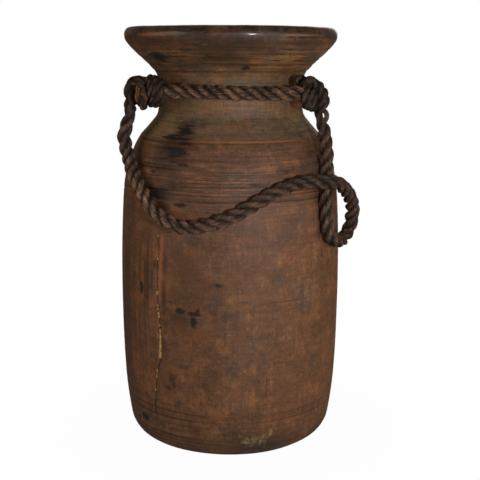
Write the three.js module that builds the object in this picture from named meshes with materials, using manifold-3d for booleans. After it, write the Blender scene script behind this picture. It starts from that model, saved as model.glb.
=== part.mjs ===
// A turned wooden jug with a rope tied round its neck and a loose rope handle, in millimetres.
// +Z is up, the origin is the middle of the underside, and the front of the jug faces -Y.

import * as THREE from "three";
import { mergeVertices } from "three/addons/utils/BufferGeometryUtils.js";
import Module from "manifold-3d";

// Heights of the turned stages, from the foot up
const HEEL_HEIGHT = 22;
const BODY_HEIGHT = 229;
const SHOULDER_HEIGHT = 63;
const NECK_HEIGHT = 35;
const FLARE_HEIGHT = 36;
const LIP_RADIUS = 7;

// Outer radii of the stages
const FOOT_RADIUS = 72;
const HEEL_RADIUS = 98;
const BELLY_RADIUS = 105.5;
const SHOULDER_RADIUS = 101.3;
const NECK_RADIUS = 68.5;
const RIM_RADIUS = 99;

// The hollow
const WALL = 13;
const FLOOR_THICKNESS = 24;
const NECK_WALL = 13;
const FLARE_WALL = 11;

// Turned grooves: how far each one lies above the foot, or above the top of the body stage
const GROOVE_WIDTH = 2.4;
const GROOVE_DEPTH = 0.9;
const FOOT_GROOVES = [17, 23, 42];
const UPPER_BODY_GROOVES = [-7.5, -3];
const SHOULDER_GROOVES = [1.5, 20, 42.5];

// The filled crack: a sliver set in a slot in the front of the body, left of the middle
const FILLER_WIDTH = 3;
const FILLER_HEIGHT = 29;
const FILLER_DEPTH = 3.5;
const FILLER_BASE = 97;
const FILLER_ANGLE = 36.4;
const FILLER_GAP = 0.3;

// The rope, and where it is tied
const ROPE_DIAMETER = 12;
const ROPE_TO_NECK = 0.45;
const ROPE_ABOVE_SHOULDER = 21.5;
const KNOT_GAP = 0.5;
const END_GAP = 0.35;
const LEFT_KNOT_ANGLE = 20;
const RIGHT_KNOT_ANGLE = 28;
const LEFT_KNOT_TURNS = 1.5;
const RIGHT_KNOT_TURNS = 1.25;
const TURN_GAP = 0.8;

// How finely each piece is faceted
const LATHE_SIDES = 48;
const ROPE_SIDES = 8;
const KNOT_SIDES = 6;
const STEPS_PER_TURN = 24;
const NECK_ROPE_STEPS = 72;
const HANDLE_STEPS = 66;

const WOOD = new THREE.MeshStandardMaterial({ color: 0x6b4128, roughness: 0.62, metalness: 0 });
const FILLER = new THREE.MeshStandardMaterial({ color: 0xb59a68, roughness: 0.8, metalness: 0 });
const ROPE = new THREE.MeshStandardMaterial({ color: 0x2c211c, roughness: 0.9, metalness: 0 });

// Values that follow from the ones above
const SHOULDER_START = HEEL_HEIGHT + BODY_HEIGHT;
const NECK_START = SHOULDER_START + SHOULDER_HEIGHT;
const FLARE_START = NECK_START + NECK_HEIGHT;
const LIP_HEIGHT = FLARE_START + FLARE_HEIGHT;
const ROPE_RADIUS = ROPE_DIAMETER / 2;
const ROPE_HEIGHT = NECK_START + ROPE_ABOVE_SHOULDER;
const NECK_ROPE_RADIUS = NECK_RADIUS + ROPE_TO_NECK + ROPE_RADIUS;
const KNOT_TURN_RADIUS = ROPE_DIAMETER + KNOT_GAP;
const TURN_SPACING = ROPE_DIAMETER + TURN_GAP;
const KNOT_DISTANCE = NECK_RADIUS + ROPE_TO_NECK + ROPE_RADIUS + KNOT_TURN_RADIUS;

const wasm = await Module();
wasm.setup();

const radians = THREE.MathUtils.degToRad;

// Solids for cutting, and geometry from them

function solidOf(geometry) {
  const bare = geometry.clone();
  bare.deleteAttribute("normal");
  bare.deleteAttribute("uv");
  const merged = mergeVertices(bare, 1e-4);
  const corners = merged.index.array;
  const kept = [];
  for (let i = 0; i < corners.length; i += 3) {
    const [a, b, c] = [corners[i], corners[i + 1], corners[i + 2]];
    if (a !== b && b !== c && c !== a) {
      kept.push(a, b, c);
    }
  }
  return new wasm.Manifold(
    new wasm.Mesh({
      numProp: 3,
      vertProperties: new Float32Array(merged.attributes.position.array),
      triVerts: new Uint32Array(kept),
    }),
  );
}

function geometryOf(solid) {
  const mesh = solid.getMesh();
  const geometry = new THREE.BufferGeometry();
  geometry.setAttribute("position", new THREE.BufferAttribute(mesh.vertProperties, 3));
  geometry.setIndex(new THREE.BufferAttribute(mesh.triVerts, 1));
  geometry.computeVertexNormals();
  return geometry;
}

// The jug's outline, as points of radius and height

function curve(start, pull, lift, end, steps) {
  const bend = new THREE.CubicBezierCurve(
    new THREE.Vector2(...start),
    new THREE.Vector2(...pull),
    new THREE.Vector2(...lift),
    new THREE.Vector2(...end),
  );
  return bend.getPoints(steps);
}

function outerOutline() {
  const heel = new THREE.QuadraticBezierCurve(
    new THREE.Vector2(FOOT_RADIUS, 0),
    new THREE.Vector2(HEEL_RADIUS - 7, 2),
    new THREE.Vector2(HEEL_RADIUS, HEEL_HEIGHT),
  );
  const bulge = (8 * BELLY_RADIUS - HEEL_RADIUS - SHOULDER_RADIUS) / 6;
  const body = curve(
    [HEEL_RADIUS, HEEL_HEIGHT],
    [bulge - 0.45, HEEL_HEIGHT + BODY_HEIGHT * 0.3],
    [bulge + 0.55, HEEL_HEIGHT + BODY_HEIGHT * 0.73],
    [SHOULDER_RADIUS, SHOULDER_START],
    9,
  );
  const shoulder = curve(
    [SHOULDER_RADIUS, SHOULDER_START],
    [SHOULDER_RADIUS - 4.3, SHOULDER_START + SHOULDER_HEIGHT * 0.27],
    [NECK_RADIUS + 21.5, NECK_START - SHOULDER_HEIGHT * 0.34],
    [NECK_RADIUS + 1, NECK_START - 1],
    8,
  );
  return [...heel.getPoints(5), ...body.slice(1), ...shoulder.slice(1)];
}

function radiusAt(outline, height) {
  const above = outline.findIndex((point) => point.y >= height);
  const low = outline[above - 1];
  const high = outline[above];
  return THREE.MathUtils.mapLinear(height, low.y, high.y, low.x, high.x);
}

function withGrooves(outline, heights) {
  const half = GROOVE_WIDTH / 2;
  const clear = outline.filter((point) => heights.every((z) => Math.abs(point.y - z) > half + 0.4));
  for (const z of heights) {
    clear.push(new THREE.Vector2(radiusAt(outline, z - half), z - half));
    clear.push(new THREE.Vector2(radiusAt(outline, z) - GROOVE_DEPTH, z));
    clear.push(new THREE.Vector2(radiusAt(outline, z + half), z + half));
  }
  return clear.sort((a, b) => a.y - b.y);
}

function lipOutline() {
  const lip = new THREE.EllipseCurve(
    RIM_RADIUS - LIP_RADIUS,
    LIP_HEIGHT,
    LIP_RADIUS,
    LIP_RADIUS,
    -Math.PI / 4,
    Math.PI * 0.85,
  );
  return lip.getPoints(9);
}

function hollowOutline() {
  const throat = NECK_RADIUS - NECK_WALL;
  const inside = BELLY_RADIUS - WALL;
  const shoulder = curve(
    [throat, NECK_START - 8],
    [throat + 20, NECK_START - 26],
    [inside - 6, SHOULDER_START + 12],
    [inside - 4, SHOULDER_START - 14],
    6,
  );
  const body = curve(
    [inside - 4, SHOULDER_START - 14],
    [inside + 2, SHOULDER_START - 80],
    [inside + 2, FLOOR_THICKNESS + 70],
    [inside - 8, FLOOR_THICKNESS + 16],
    5,
  );
  const corner = new THREE.QuadraticBezierCurve(
    new THREE.Vector2(inside - 8, FLOOR_THICKNESS + 16),
    new THREE.Vector2(inside - 11, FLOOR_THICKNESS + 1),
    new THREE.Vector2(inside - 26, FLOOR_THICKNESS),
  );
  return [
    new THREE.Vector2(RIM_RADIUS - LIP_RADIUS - FLARE_WALL, LIP_HEIGHT - 3),
    new THREE.Vector2(throat, FLARE_START + 3),
    ...shoulder,
    ...body.slice(1),
    ...corner.getPoints(3).slice(1),
    new THREE.Vector2(0, FLOOR_THICKNESS),
  ];
}

function turnedJug() {
  const grooves = [
    ...FOOT_GROOVES,
    ...UPPER_BODY_GROOVES.map((z) => SHOULDER_START + z),
    ...SHOULDER_GROOVES.map((z) => SHOULDER_START + z),
  ];
  const outline = [
    new THREE.Vector2(0, 0),
    ...withGrooves(outerOutline(), grooves),
    new THREE.Vector2(NECK_RADIUS, NECK_START + 4),
    new THREE.Vector2(NECK_RADIUS, FLARE_START - 2),
    new THREE.Vector2(NECK_RADIUS + 1.5, FLARE_START + 1.5),
    ...lipOutline(),
    ...hollowOutline(),
  ];
  return solidOf(new THREE.LatheGeometry(outline, LATHE_SIDES).rotateX(Math.PI / 2));
}

// The slot for the filler is a box turned to its place on the body; the filler is the same box, smaller

function slotBox(gap) {
  const surface = radiusAt(outerOutline(), FILLER_BASE + FILLER_HEIGHT / 2);
  const depth = FILLER_DEPTH + 6;
  const box = new THREE.BoxGeometry(FILLER_WIDTH + 2 * gap, depth, FILLER_HEIGHT + 2 * gap);
  box.translate(0, -(surface - FILLER_DEPTH - gap + depth / 2), FILLER_BASE + FILLER_HEIGHT / 2);
  return solidOf(box.rotateZ(-radians(FILLER_ANGLE)));
}

// Rope

function ropeGeometry(path, sides, steps) {
  const section = new THREE.Shape();
  for (let i = 0; i < sides; i++) {
    const angle = (2 * Math.PI * (i + 0.5)) / sides;
    const place = [ROPE_RADIUS * Math.cos(angle), ROPE_RADIUS * Math.sin(angle)];
    if (i === 0) {
      section.moveTo(...place);
    } else {
      section.lineTo(...place);
    }
  }
  section.closePath();
  return new THREE.ExtrudeGeometry(section, { steps, extrudePath: path, bevelEnabled: false });
}

// A knot's place and its three directions: away from the axis, towards the front, and up

function knotFrame(side, angle) {
  const out = new THREE.Vector3(side * Math.cos(radians(angle)), -Math.sin(radians(angle)), 0);
  const front = new THREE.Vector3(-side * Math.sin(radians(angle)), -Math.cos(radians(angle)), 0);
  const middle = out.clone().multiplyScalar(KNOT_DISTANCE).setZ(ROPE_HEIGHT);
  return { out, front, middle, up: new THREE.Vector3(0, 0, 1) };
}

// The knot's rope: it comes up from the handle, winds back along the neck rope and ends in a short tail

function knotPoints(frame, turns) {
  const place = (turn) => {
    const angle = 2 * Math.PI * turn;
    return frame.middle
      .clone()
      .addScaledVector(frame.out, KNOT_TURN_RADIUS * Math.cos(angle))
      .addScaledVector(frame.up, KNOT_TURN_RADIUS * Math.sin(angle))
      .addScaledVector(frame.front, TURN_SPACING * (turns / 2 - turn));
  };
  const points = [];
  const count = Math.round(turns * STEPS_PER_TURN);
  for (let i = 0; i <= count; i++) {
    points.push(place((turns * i) / count));
  }
  const runIn = place(0).sub(place(0.001)).normalize();
  const runOut = place(turns).sub(place(turns - 0.001)).normalize();
  points.unshift(points[0].clone().addScaledVector(runIn, ROPE_RADIUS));
  points.unshift(points[1].clone().addScaledVector(runIn, ROPE_DIAMETER));
  points.push(points[points.length - 1].clone().addScaledVector(runOut, ROPE_RADIUS));
  points.push(points[points.length - 2].clone().addScaledVector(runOut, ROPE_DIAMETER));
  return points;
}

function knotGeometry(points) {
  const path = new THREE.CatmullRomCurve3(points, false, "centripetal");
  return ropeGeometry(path, KNOT_SIDES, points.length - 1);
}

// The least gap between two stretches of one rope that lie apart along it

function leastSelfGap(points) {
  let least = Infinity;
  const length = (from, to) => {
    let sum = 0;
    for (let k = from; k < to; k++) {
      sum += points[k].distanceTo(points[k + 1]);
    }
    return sum;
  };
  for (let i = 0; i < points.length; i++) {
    for (let j = i + 1; j < points.length; j++) {
      if (length(i, j) > 3 * ROPE_DIAMETER) {
        least = Math.min(least, points[i].distanceTo(points[j]) - ROPE_DIAMETER);
      }
    }
  }
  return least;
}

// The neck rope hugs the neck and swings out through each knot; its two ends butt inside the right knot

function neckRopePath(knots) {
  const first = knots[1].angle;
  const points = [];
  const butt = THREE.MathUtils.radToDeg(END_GAP / KNOT_DISTANCE);
  for (let i = 0; i <= NECK_ROPE_STEPS; i++) {
    const angle = first + butt + ((360 - 2 * butt) * i) / NECK_ROPE_STEPS;
    let radius = NECK_ROPE_RADIUS;
    for (const knot of knots) {
      const away = Math.abs(((angle - knot.angle + 540) % 360) - 180);
      const straight = Math.min(away, 60);
      const line = KNOT_DISTANCE / Math.cos(radians(straight));
      const hug = THREE.MathUtils.smoothstep(away, 12.5, 42);
      radius += (1 - hug) * (line - NECK_ROPE_RADIUS);
    }
    const x = radius * Math.cos(radians(angle));
    points.push(new THREE.Vector3(x, radius * Math.sin(radians(angle)), ROPE_HEIGHT));
  }
  return new THREE.CatmullRomCurve3(points, false, "centripetal");
}

// The handle's route between the knots, from left to right: down over the shoulder, across the front
// of the body, over its own right leg, round a loop at the right and up that leg to the right knot

const HANDLE_ROUTE = [
  [-92.6, -42, 308],
  [-95, -42, 300.5],
  [-96, -42, 294],
  [-95, -43, 288],
  [-92, -47, 278.5],
  [-88.3, -55.5, 267.7],
  [-83.2, -66.7, 258.4],
  [-78.5, -74.8, 250.6],
  [-73.2, -80.9, 242.7],
  [-66.2, -87.5, 234.5],
  [-55.7, -95.3, 227.5],
  [-45, -101, 223],
  [-34.5, -105.1, 222.4],
  [-19.7, -108.7, 225.2],
  [-4.2, -110, 230.2],
  [11.1, -109, 236.9],
  [26.5, -105.6, 245.8],
  [41.8, -99.6, 253.5],
  [57.6, -90.6, 258.6],
  [72.9, -86, 260],
  [82.5, -84, 260],
  [91.7, -79, 258.4],
  [100, -69, 253.4],
  [107.7, -54, 244.3],
  [112.8, -40, 231.4],
  [113.4, -31, 216.6],
  [110.5, -30.5, 205.5],
  [103.2, -43, 200],
  [94.8, -61, 203.5],
  [89.8, -65.7, 209.7],
  [87.7, -67.7, 218.8],
  [86.5, -68, 231.6],
  [86.4, -66.4, 244.9],
  [86.4, -63, 257],
  [86.8, -57.6, 269.6],
  [86.6, -56.6, 284],
  [86, -56, 296],
  [85, -56.5, 306],
];

function handleEnd(points) {
  const away = points[0].clone().sub(points[1]).normalize();
  const start = points[0].clone().addScaledVector(away, END_GAP);
  return [start, start.clone().addScaledVector(away, ROPE_RADIUS)];
}

function handlePath(leftPoints, rightPoints) {
  const route = HANDLE_ROUTE.map((place) => new THREE.Vector3(...place));
  const points = [...handleEnd(leftPoints), ...route, ...handleEnd(rightPoints).reverse()];
  return new THREE.CatmullRomCurve3(points, false, "centripetal");
}

function named(name, geometry, material) {
  const mesh = new THREE.Mesh(geometry, material);
  mesh.name = name;
  return mesh;
}

const turned = turnedJug();
const jugBody = geometryOf(turned.subtract(slotBox(FILLER_GAP)));
const crackFiller = geometryOf(turned.intersect(slotBox(0)));

const leftKnot = { ...knotFrame(-1, LEFT_KNOT_ANGLE), angle: 180 + LEFT_KNOT_ANGLE };
const rightKnot = { ...knotFrame(1, RIGHT_KNOT_ANGLE), angle: -RIGHT_KNOT_ANGLE };
const leftPoints = knotPoints(leftKnot, LEFT_KNOT_TURNS);
const rightPoints = knotPoints(rightKnot, RIGHT_KNOT_TURNS);
const handle = handlePath(leftPoints, rightPoints);

console.log(`left knot, least gap to itself: ${leastSelfGap(leftPoints).toFixed(2)} mm`);
console.log(`right knot, least gap to itself: ${leastSelfGap(rightPoints).toFixed(2)} mm`);
console.log(`handle rope, least gap to itself: ${leastSelfGap(handle.getSpacedPoints(200)).toFixed(2)} mm`);
console.log(`handle rope, length: ${handle.getLength().toFixed(0)} mm`);

const jug = new THREE.Group();
jug.add(named("jug_body", jugBody, WOOD));
jug.add(named("crack_filler", crackFiller, FILLER));
jug.add(
  named(
    "neck_rope",
    ropeGeometry(neckRopePath([leftKnot, rightKnot]), ROPE_SIDES, NECK_ROPE_STEPS),
    ROPE,
  ),
);
jug.add(named("left_knot", knotGeometry(leftPoints), ROPE));
jug.add(named("right_knot", knotGeometry(rightPoints), ROPE));
jug.add(named("handle_rope", ropeGeometry(handle, ROPE_SIDES, HANDLE_STEPS), ROPE));

export default jug;
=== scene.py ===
"""A turned wooden jug with a rope tied round its neck and a loose rope handle.

The jug is one lathe-turned piece of old wood with a wide flared rim, a narrow neck and a rounded
body. A crack in its front is filled with putty. The rope is three-strand, tied in a knot at each
side of the neck, and its handle hangs over the front with one loop at the right.

All lengths are in metres, +Z is up, and the front of the jug faces -Y.
"""

import logging
import math
from collections.abc import Mapping, Sequence
from dataclasses import dataclass, field
from enum import Enum

import bpy
import numpy as np
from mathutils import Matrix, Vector


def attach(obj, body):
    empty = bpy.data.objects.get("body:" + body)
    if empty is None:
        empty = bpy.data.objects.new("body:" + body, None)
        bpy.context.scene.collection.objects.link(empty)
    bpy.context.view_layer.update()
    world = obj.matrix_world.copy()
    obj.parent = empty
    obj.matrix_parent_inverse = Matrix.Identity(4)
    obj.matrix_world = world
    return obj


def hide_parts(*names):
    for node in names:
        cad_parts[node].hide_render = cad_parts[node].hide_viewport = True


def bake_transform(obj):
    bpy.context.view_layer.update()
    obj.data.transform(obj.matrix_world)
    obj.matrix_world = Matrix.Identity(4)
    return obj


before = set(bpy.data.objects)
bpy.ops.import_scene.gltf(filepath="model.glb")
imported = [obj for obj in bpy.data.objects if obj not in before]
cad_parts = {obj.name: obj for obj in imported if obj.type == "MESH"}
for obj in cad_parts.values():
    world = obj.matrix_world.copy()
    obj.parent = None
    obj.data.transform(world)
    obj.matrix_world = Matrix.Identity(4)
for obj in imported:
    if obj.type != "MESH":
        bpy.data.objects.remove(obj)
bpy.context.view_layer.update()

LOG = logging.getLogger("jug")
MM = 0.001
# The photograph's side in pixels, and how many millimetres of the jug one of its pixels spans
PHOTO_SIDE = 480
PIXEL_AT_JUG = 0.95
# The height in millimetres where the body ends and the shoulder starts
SHOULDER = 235
Point = tuple[float, float, float]
Colour = tuple[float, float, float, float]


def srgb(red: float, green: float, blue: float) -> Colour:
    """Turns a colour as a screen shows it, 0 to 255, into the linear colour that shaders take.

    Args:
        red: Red, 0 to 255.
        green: Green, 0 to 255.
        blue: Blue, 0 to 255.

    Returns:
        The linear colour with full alpha.
    """
    levels = [level / 255 for level in (red, green, blue)]
    linear = [x / 12.92 if x <= 0.04045 else ((x + 0.055) / 1.055) ** 2.4 for x in levels]
    return (linear[0], linear[1], linear[2], 1.0)


def smoothstep(low: float, high: float, value: np.ndarray) -> np.ndarray:
    """Rises smoothly from 0 at low to 1 at high."""
    share = np.clip((value - low) / (high - low), 0, 1)
    return share * share * (3 - 2 * share)


class Unevenness:
    """Smooth random unevenness at any points, the same on every run."""

    def __init__(self, seed: int) -> None:
        """Draws the lattice values from the seed."""
        chance = np.random.default_rng(seed)
        self.levels = chance.random(4096)
        self.shuffle = chance.permutation(4096)

    def at(self, points: np.ndarray, scale: Sequence[float]) -> np.ndarray:
        """Gives the unevenness at each point.

        Args:
            points: One row of three coordinates for each point.
            scale: How many bumps there are in a metre along each axis.

        Returns:
            One value from -1 to 1 for each point.
        """
        place = points * np.array(scale, float)
        cell = np.floor(place).astype(np.int64)
        share = place - cell
        share = share * share * (3 - 2 * share)
        total = np.zeros(len(points))
        for corner in range(8):
            step = np.array([corner & 1, corner >> 1 & 1, corner >> 2 & 1])
            near = (cell + step) & 4095
            drawn = self.shuffle[(near[:, 1] + self.shuffle[near[:, 2]]) & 4095]
            drawn = self.shuffle[(near[:, 0] + drawn) & 4095]
            total += np.prod(np.where(step, share, 1 - share), axis=1) * self.levels[drawn]
        return 2 * total - 1


# Meshes


@dataclass
class Skin:
    """The corners, faces and painted amounts of one mesh while it is being made."""

    corners: list[np.ndarray] = field(default_factory=list)
    faces: list[list[int]] = field(default_factory=list)
    amounts: list[dict[str, np.ndarray]] = field(default_factory=list)
    count: int = 0

    def add(self, corners: np.ndarray, faces: np.ndarray, **amounts: np.ndarray) -> None:
        """Adds a patch of surface.

        Args:
            corners: One row for each corner.
            faces: One row of corner numbers for each face, counted within this patch.
            **amounts: Named values, one for each corner.
        """
        self.corners.append(corners)
        self.faces.extend((faces + self.count).tolist())
        self.amounts.append(amounts)
        self.count += len(corners)

    def add_tube(self, rings: np.ndarray, **amounts: np.ndarray) -> None:
        """Adds a tube through rings of corners, closed at both ends.

        Args:
            rings: Ring by ring, the corners of each ring.
            **amounts: Named values, laid out as the rings are.
        """
        many, sides = rings.shape[:2]
        ring = np.arange(many - 1)[:, None] * sides
        side = np.arange(sides)[None, :]
        after = (side + 1) % sides
        quads = np.stack([ring + side, ring + after, ring + sides + after, ring + sides + side], -1)
        ends = np.stack([rings[0].mean(0), rings[-1].mean(0)])
        flat = {
            name: np.concatenate(
                [value.reshape(many * sides, -1), value[[0, -1]].mean(1).reshape(2, -1)]
            )
            for name, value in amounts.items()
        }
        start = self.count
        self.add(np.concatenate([rings.reshape(-1, 3), ends]), quads.reshape(-1, 4), **flat)
        last = (many - 1) * sides
        for i in range(sides):
            j = (i + 1) % sides
            self.faces.append([start + many * sides, start + j, start + i])
            self.faces.append([start + many * sides + 1, start + last + i, start + last + j])

    def build(self, name: str) -> bpy.types.Object:
        """Makes the mesh object.

        Args:
            name: The object's name.

        Returns:
            The object, smooth shaded, with each amount as an attribute.
        """
        mesh = bpy.data.meshes.new(name)
        mesh.from_pydata(np.concatenate(self.corners).tolist(), [], self.faces)
        mesh.polygons.foreach_set("use_smooth", [True] * len(mesh.polygons))
        known = {
            key: value.reshape(len(value), -1).shape[1] for a in self.amounts for key, value in a.items()
        }
        for key, width in known.items():
            parts = [
                a[key].reshape(len(c), width) if key in a else np.zeros((len(c), width))
                for a, c in zip(self.amounts, self.corners)
            ]
            kind, slot = ("FLOAT", "value") if width == 1 else ("FLOAT_VECTOR", "vector")
            layer = mesh.attributes.new(key, kind, "POINT")
            layer.data.foreach_set(slot, np.concatenate(parts).astype(np.float32).ravel())
        mesh.update()
        piece = bpy.data.objects.new(name, mesh)
        bpy.context.scene.collection.objects.link(piece)
        return piece


def smooth_route(points: Sequence[Point], spacing: float) -> np.ndarray:
    """Runs a smooth curve through points, as the solid model does, in even steps.

    Args:
        points: The points that the curve passes through.
        spacing: The length of a step.

    Returns:
        The points of the curve, one row each.
    """
    given = np.array(points, float)
    given = np.vstack([2 * given[0] - given[1], given, 2 * given[-1] - given[-2]])
    gaps = np.sqrt(np.linalg.norm(np.diff(given, axis=0), axis=1))
    fine = [given[1][None]]
    for i in range(1, len(given) - 2):
        a, b, c, d = given[i - 1 : i + 3]
        before, here, after = gaps[i - 1 : i + 2]
        leave = ((b - a) / before - (c - a) / (before + here) + (c - b) / here) * here
        reach = ((c - b) / here - (d - b) / (here + after) + (d - c) / after) * here
        t = np.linspace(0, 1, 33)[1:, None]
        fine.append(
            b
            + leave * t
            + (3 * (c - b) - 2 * leave - reach) * t**2
            + (2 * (b - c) + leave + reach) * t**3
        )
    line = np.concatenate(fine)
    run = np.concatenate([[0], np.cumsum(np.linalg.norm(np.diff(line, axis=0), axis=1))])
    steps = np.linspace(0, run[-1], max(4, round(run[-1] / spacing) + 1))
    return np.stack([np.interp(steps, run, line[:, k]) for k in range(3)], axis=1)


def carried_frames(line: np.ndarray) -> tuple[np.ndarray, np.ndarray, np.ndarray]:
    """Carries two side directions along a line without turning them about it.

    Args:
        line: The points of the line.

    Returns:
        At each point, the direction along the line and the two side directions.
    """
    along = np.gradient(line, axis=0)
    along /= np.linalg.norm(along, axis=1)[:, None]
    helper = np.eye(3)[np.argmin(np.abs(along[0]))]
    side = np.cross(along[0], helper)
    sides = []
    for direction in along:
        side = side - direction * (side @ direction)
        side = side / np.linalg.norm(side)
        sides.append(side)
    first = np.array(sides)
    return along, first, np.cross(along, first)


# Materials


class Wire:
    """One output of a shader node, with arithmetic that adds Math nodes."""

    def __init__(self, paint: "Paint", socket: bpy.types.NodeSocket) -> None:
        """Keeps the output and the material that it belongs to."""
        self.paint = paint
        self.socket = socket

    def _sum(self, operation: str, *values: "Wire | float") -> "Wire":
        """Adds one Math node.

        Args:
            operation: The node's operation.
            *values: What goes into it, in order.

        Returns:
            The node's output.
        """
        made = self.paint.node(
            "ShaderNodeMath", {"operation": operation}, dict(enumerate(values))
        )
        return Wire(self.paint, made.outputs[0])

    def __add__(self, other: "Wire | float") -> "Wire":
        """Adds."""
        return self._sum("ADD", self, other)

    def __radd__(self, other: float) -> "Wire":
        """Adds to a number."""
        return self._sum("ADD", other, self)

    def __sub__(self, other: "Wire | float") -> "Wire":
        """Subtracts."""
        return self._sum("SUBTRACT", self, other)

    def __rsub__(self, other: float) -> "Wire":
        """Subtracts from a number."""
        return self._sum("SUBTRACT", other, self)

    def __mul__(self, other: "Wire | float") -> "Wire":
        """Multiplies."""
        return self._sum("MULTIPLY", self, other)

    def __rmul__(self, other: float) -> "Wire":
        """Multiplies a number."""
        return self._sum("MULTIPLY", other, self)

    def __pow__(self, other: float) -> "Wire":
        """Raises to a power."""
        return self._sum("POWER", self, other)

    def sine(self) -> "Wire":
        """Takes the sine."""
        return self._sum("SINE", self)

    def top(self, other: "Wire | float") -> "Wire":
        """Takes the greater of the two."""
        return self._sum("MAXIMUM", self, other)

    def rise(self, low: float, high: float) -> "Wire":
        """Rises smoothly from 0 where this is low to 1 where it is high.

        Args:
            low: Where the rise starts.
            high: Where it ends. It may lie below low, and then the rise runs the other way.

        Returns:
            The value from 0 to 1.
        """
        made = self.paint.node(
            "ShaderNodeMapRange",
            {"interpolation_type": "SMOOTHSTEP"},
            {"Value": self, "From Min": low, "From Max": high},
        )
        return Wire(self.paint, made.outputs[0])


class Paint:
    """A material and the nodes that make it."""

    def __init__(self, name: str) -> None:
        """Starts an empty material.

        Args:
            name: The material's name.
        """
        self.material = bpy.data.materials.new(name)
        self.material.use_nodes = True
        self.tree = self.material.node_tree
        self.tree.nodes.clear()

    def node(
        self,
        kind: str,
        settings: Mapping[str, object] | None = None,
        sockets: Mapping[object, object] | None = None,
    ) -> bpy.types.Node:
        """Adds a node.

        Args:
            kind: The node's type.
            settings: Its settings, and "stops" for the positions and colours of a ramp.
            sockets: Values or wires for its inputs, by name or number.

        Returns:
            The node.
        """
        made = self.tree.nodes.new(kind)
        for name, value in (settings or {}).items():
            if name == "stops":
                ramp = made.color_ramp
                while len(ramp.elements) < len(value):
                    ramp.elements.new(1.0)
                for element, (position, colour) in zip(ramp.elements, value):
                    element.position = position
                    element.color = colour
            else:
                setattr(made, name, value)
        for name, value in (sockets or {}).items():
            if isinstance(value, Wire):
                self.tree.links.new(value.socket, made.inputs[name])
            else:
                made.inputs[name].default_value = value
        return made

    def wire(
        self,
        kind: str,
        settings: Mapping[str, object] | None = None,
        sockets: Mapping[object, object] | None = None,
        output: object = 0,
    ) -> Wire:
        """Adds a node and takes one of its outputs.

        Args:
            kind: The node's type.
            settings: Its settings.
            sockets: Values or wires for its inputs.
            output: The output's name or number.

        Returns:
            The output.
        """
        return Wire(self, self.node(kind, settings, sockets).outputs[output])

    def place(self) -> Wire:
        """Gives the point on the object, in metres."""
        return self.wire("ShaderNodeTexCoord", output="Object")

    def painted(self, name: str) -> Wire:
        """Gives an amount that was painted on the corners.

        Args:
            name: The amount's name.

        Returns:
            The amount.
        """
        return self.wire("ShaderNodeAttribute", {"attribute_name": name}, output="Fac")

    def stretch(self, vector: Wire, by: Point) -> Wire:
        """Multiplies a vector axis by axis."""
        return self.wire("ShaderNodeVectorMath", {"operation": "MULTIPLY"}, {0: vector, 1: by})

    def shift(self, vector: Wire, by: "Wire | Point") -> Wire:
        """Adds to a vector."""
        return self.wire("ShaderNodeVectorMath", {"operation": "ADD"}, {0: vector, 1: by})

    def cloud(
        self, vector: Wire, scale: float, detail: float = 3, rough: float = 0.5, warp: float = 0
    ) -> Wire:
        """Adds soft noise.

        Args:
            vector: Where to look.
            scale: How many clouds there are in a metre.
            detail: How many finer layers there are.
            rough: How strong the finer layers are.
            warp: How much the clouds are drawn about.

        Returns:
            The noise, about 0.5 on average.
        """
        return self.wire(
            "ShaderNodeTexNoise",
            {},
            {
                "Vector": vector,
                "Scale": scale,
                "Detail": detail,
                "Roughness": rough,
                "Distortion": warp,
            },
        )

    def sway(
        self, vector: Wire, scale: float, detail: float = 3, rough: float = 0.5, warp: float = 0
    ) -> Wire:
        """Adds noise that swings about 0.

        Args:
            vector: Where to look.
            scale: How many clouds there are in a metre.
            detail: How many finer layers there are.
            rough: How strong the finer layers are.
            warp: How much the clouds are drawn about.

        Returns:
            The noise, mostly from -1 to 1.
        """
        return (self.cloud(vector, scale, detail, rough, warp) - 0.5) * 3.4

    def ramp(self, value: Wire, stops: Sequence[tuple[float, Colour]]) -> Wire:
        """Turns a value into a colour.

        Args:
            value: The value, 0 to 1.
            stops: The positions and colours, in order.

        Returns:
            The colour.
        """
        return self.wire("ShaderNodeValToRGB", {"stops": list(stops)}, {0: value})

    def blend(
        self, share: "Wire | float", under: "Wire | Colour", over: "Wire | Colour", how: str = "MIX"
    ) -> Wire:
        """Lays one colour over another.

        Args:
            share: How much of the upper colour there is.
            under: The lower colour.
            over: The upper colour.
            how: The way that they are blended.

        Returns:
            The colour.
        """
        return self.wire(
            "ShaderNodeMix",
            {"data_type": "RGBA", "blend_type": how, "clamp_factor": True},
            {0: share, 6: under, 7: over},
            output=2,
        )

    def tone(self, colour: Wire, level: Wire) -> Wire:
        """Multiplies a colour by a level."""
        return self.wire(
            "ShaderNodeVectorMath", {"operation": "SCALE"}, {0: colour, "Scale": level}
        )

    def relief(self, height: Wire, depth: float, strength: float = 1.0, under: Wire | None = None) -> Wire:
        """Adds a Bump node.

        Args:
            height: The height, 0 to 1.
            depth: How deep the relief is, in metres.
            strength: How much of it shows.
            under: A relief that this one lies on.

        Returns:
            The normal.
        """
        sockets = {"Height": height, "Distance": depth, "Strength": strength}
        if under is not None:
            sockets["Normal"] = under
        return self.wire("ShaderNodeBump", {}, sockets)

    def surface(self, **sockets: object) -> bpy.types.Material:
        """Ends the material with its shader.

        Args:
            **sockets: The shader's inputs, with underscores for spaces.

        Returns:
            The material.
        """
        named = {name.replace("_", " "): value for name, value in sockets.items()}
        shader = self.wire("ShaderNodeBsdfPrincipled", {}, named)
        self.node("ShaderNodeOutputMaterial", {}, {"Surface": shader})
        return self.material


class Stain(Enum):
    """The kinds of mark on the wood."""

    CHAR = "char"
    SOOT_AND_PAINTED_SHADE = "soot"
    SCORCH = "scorch"
    MOSS = "moss"
    PALE = "pale"
    RUST_AND_PAINTED_HIGHLIGHT = "rust"


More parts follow.
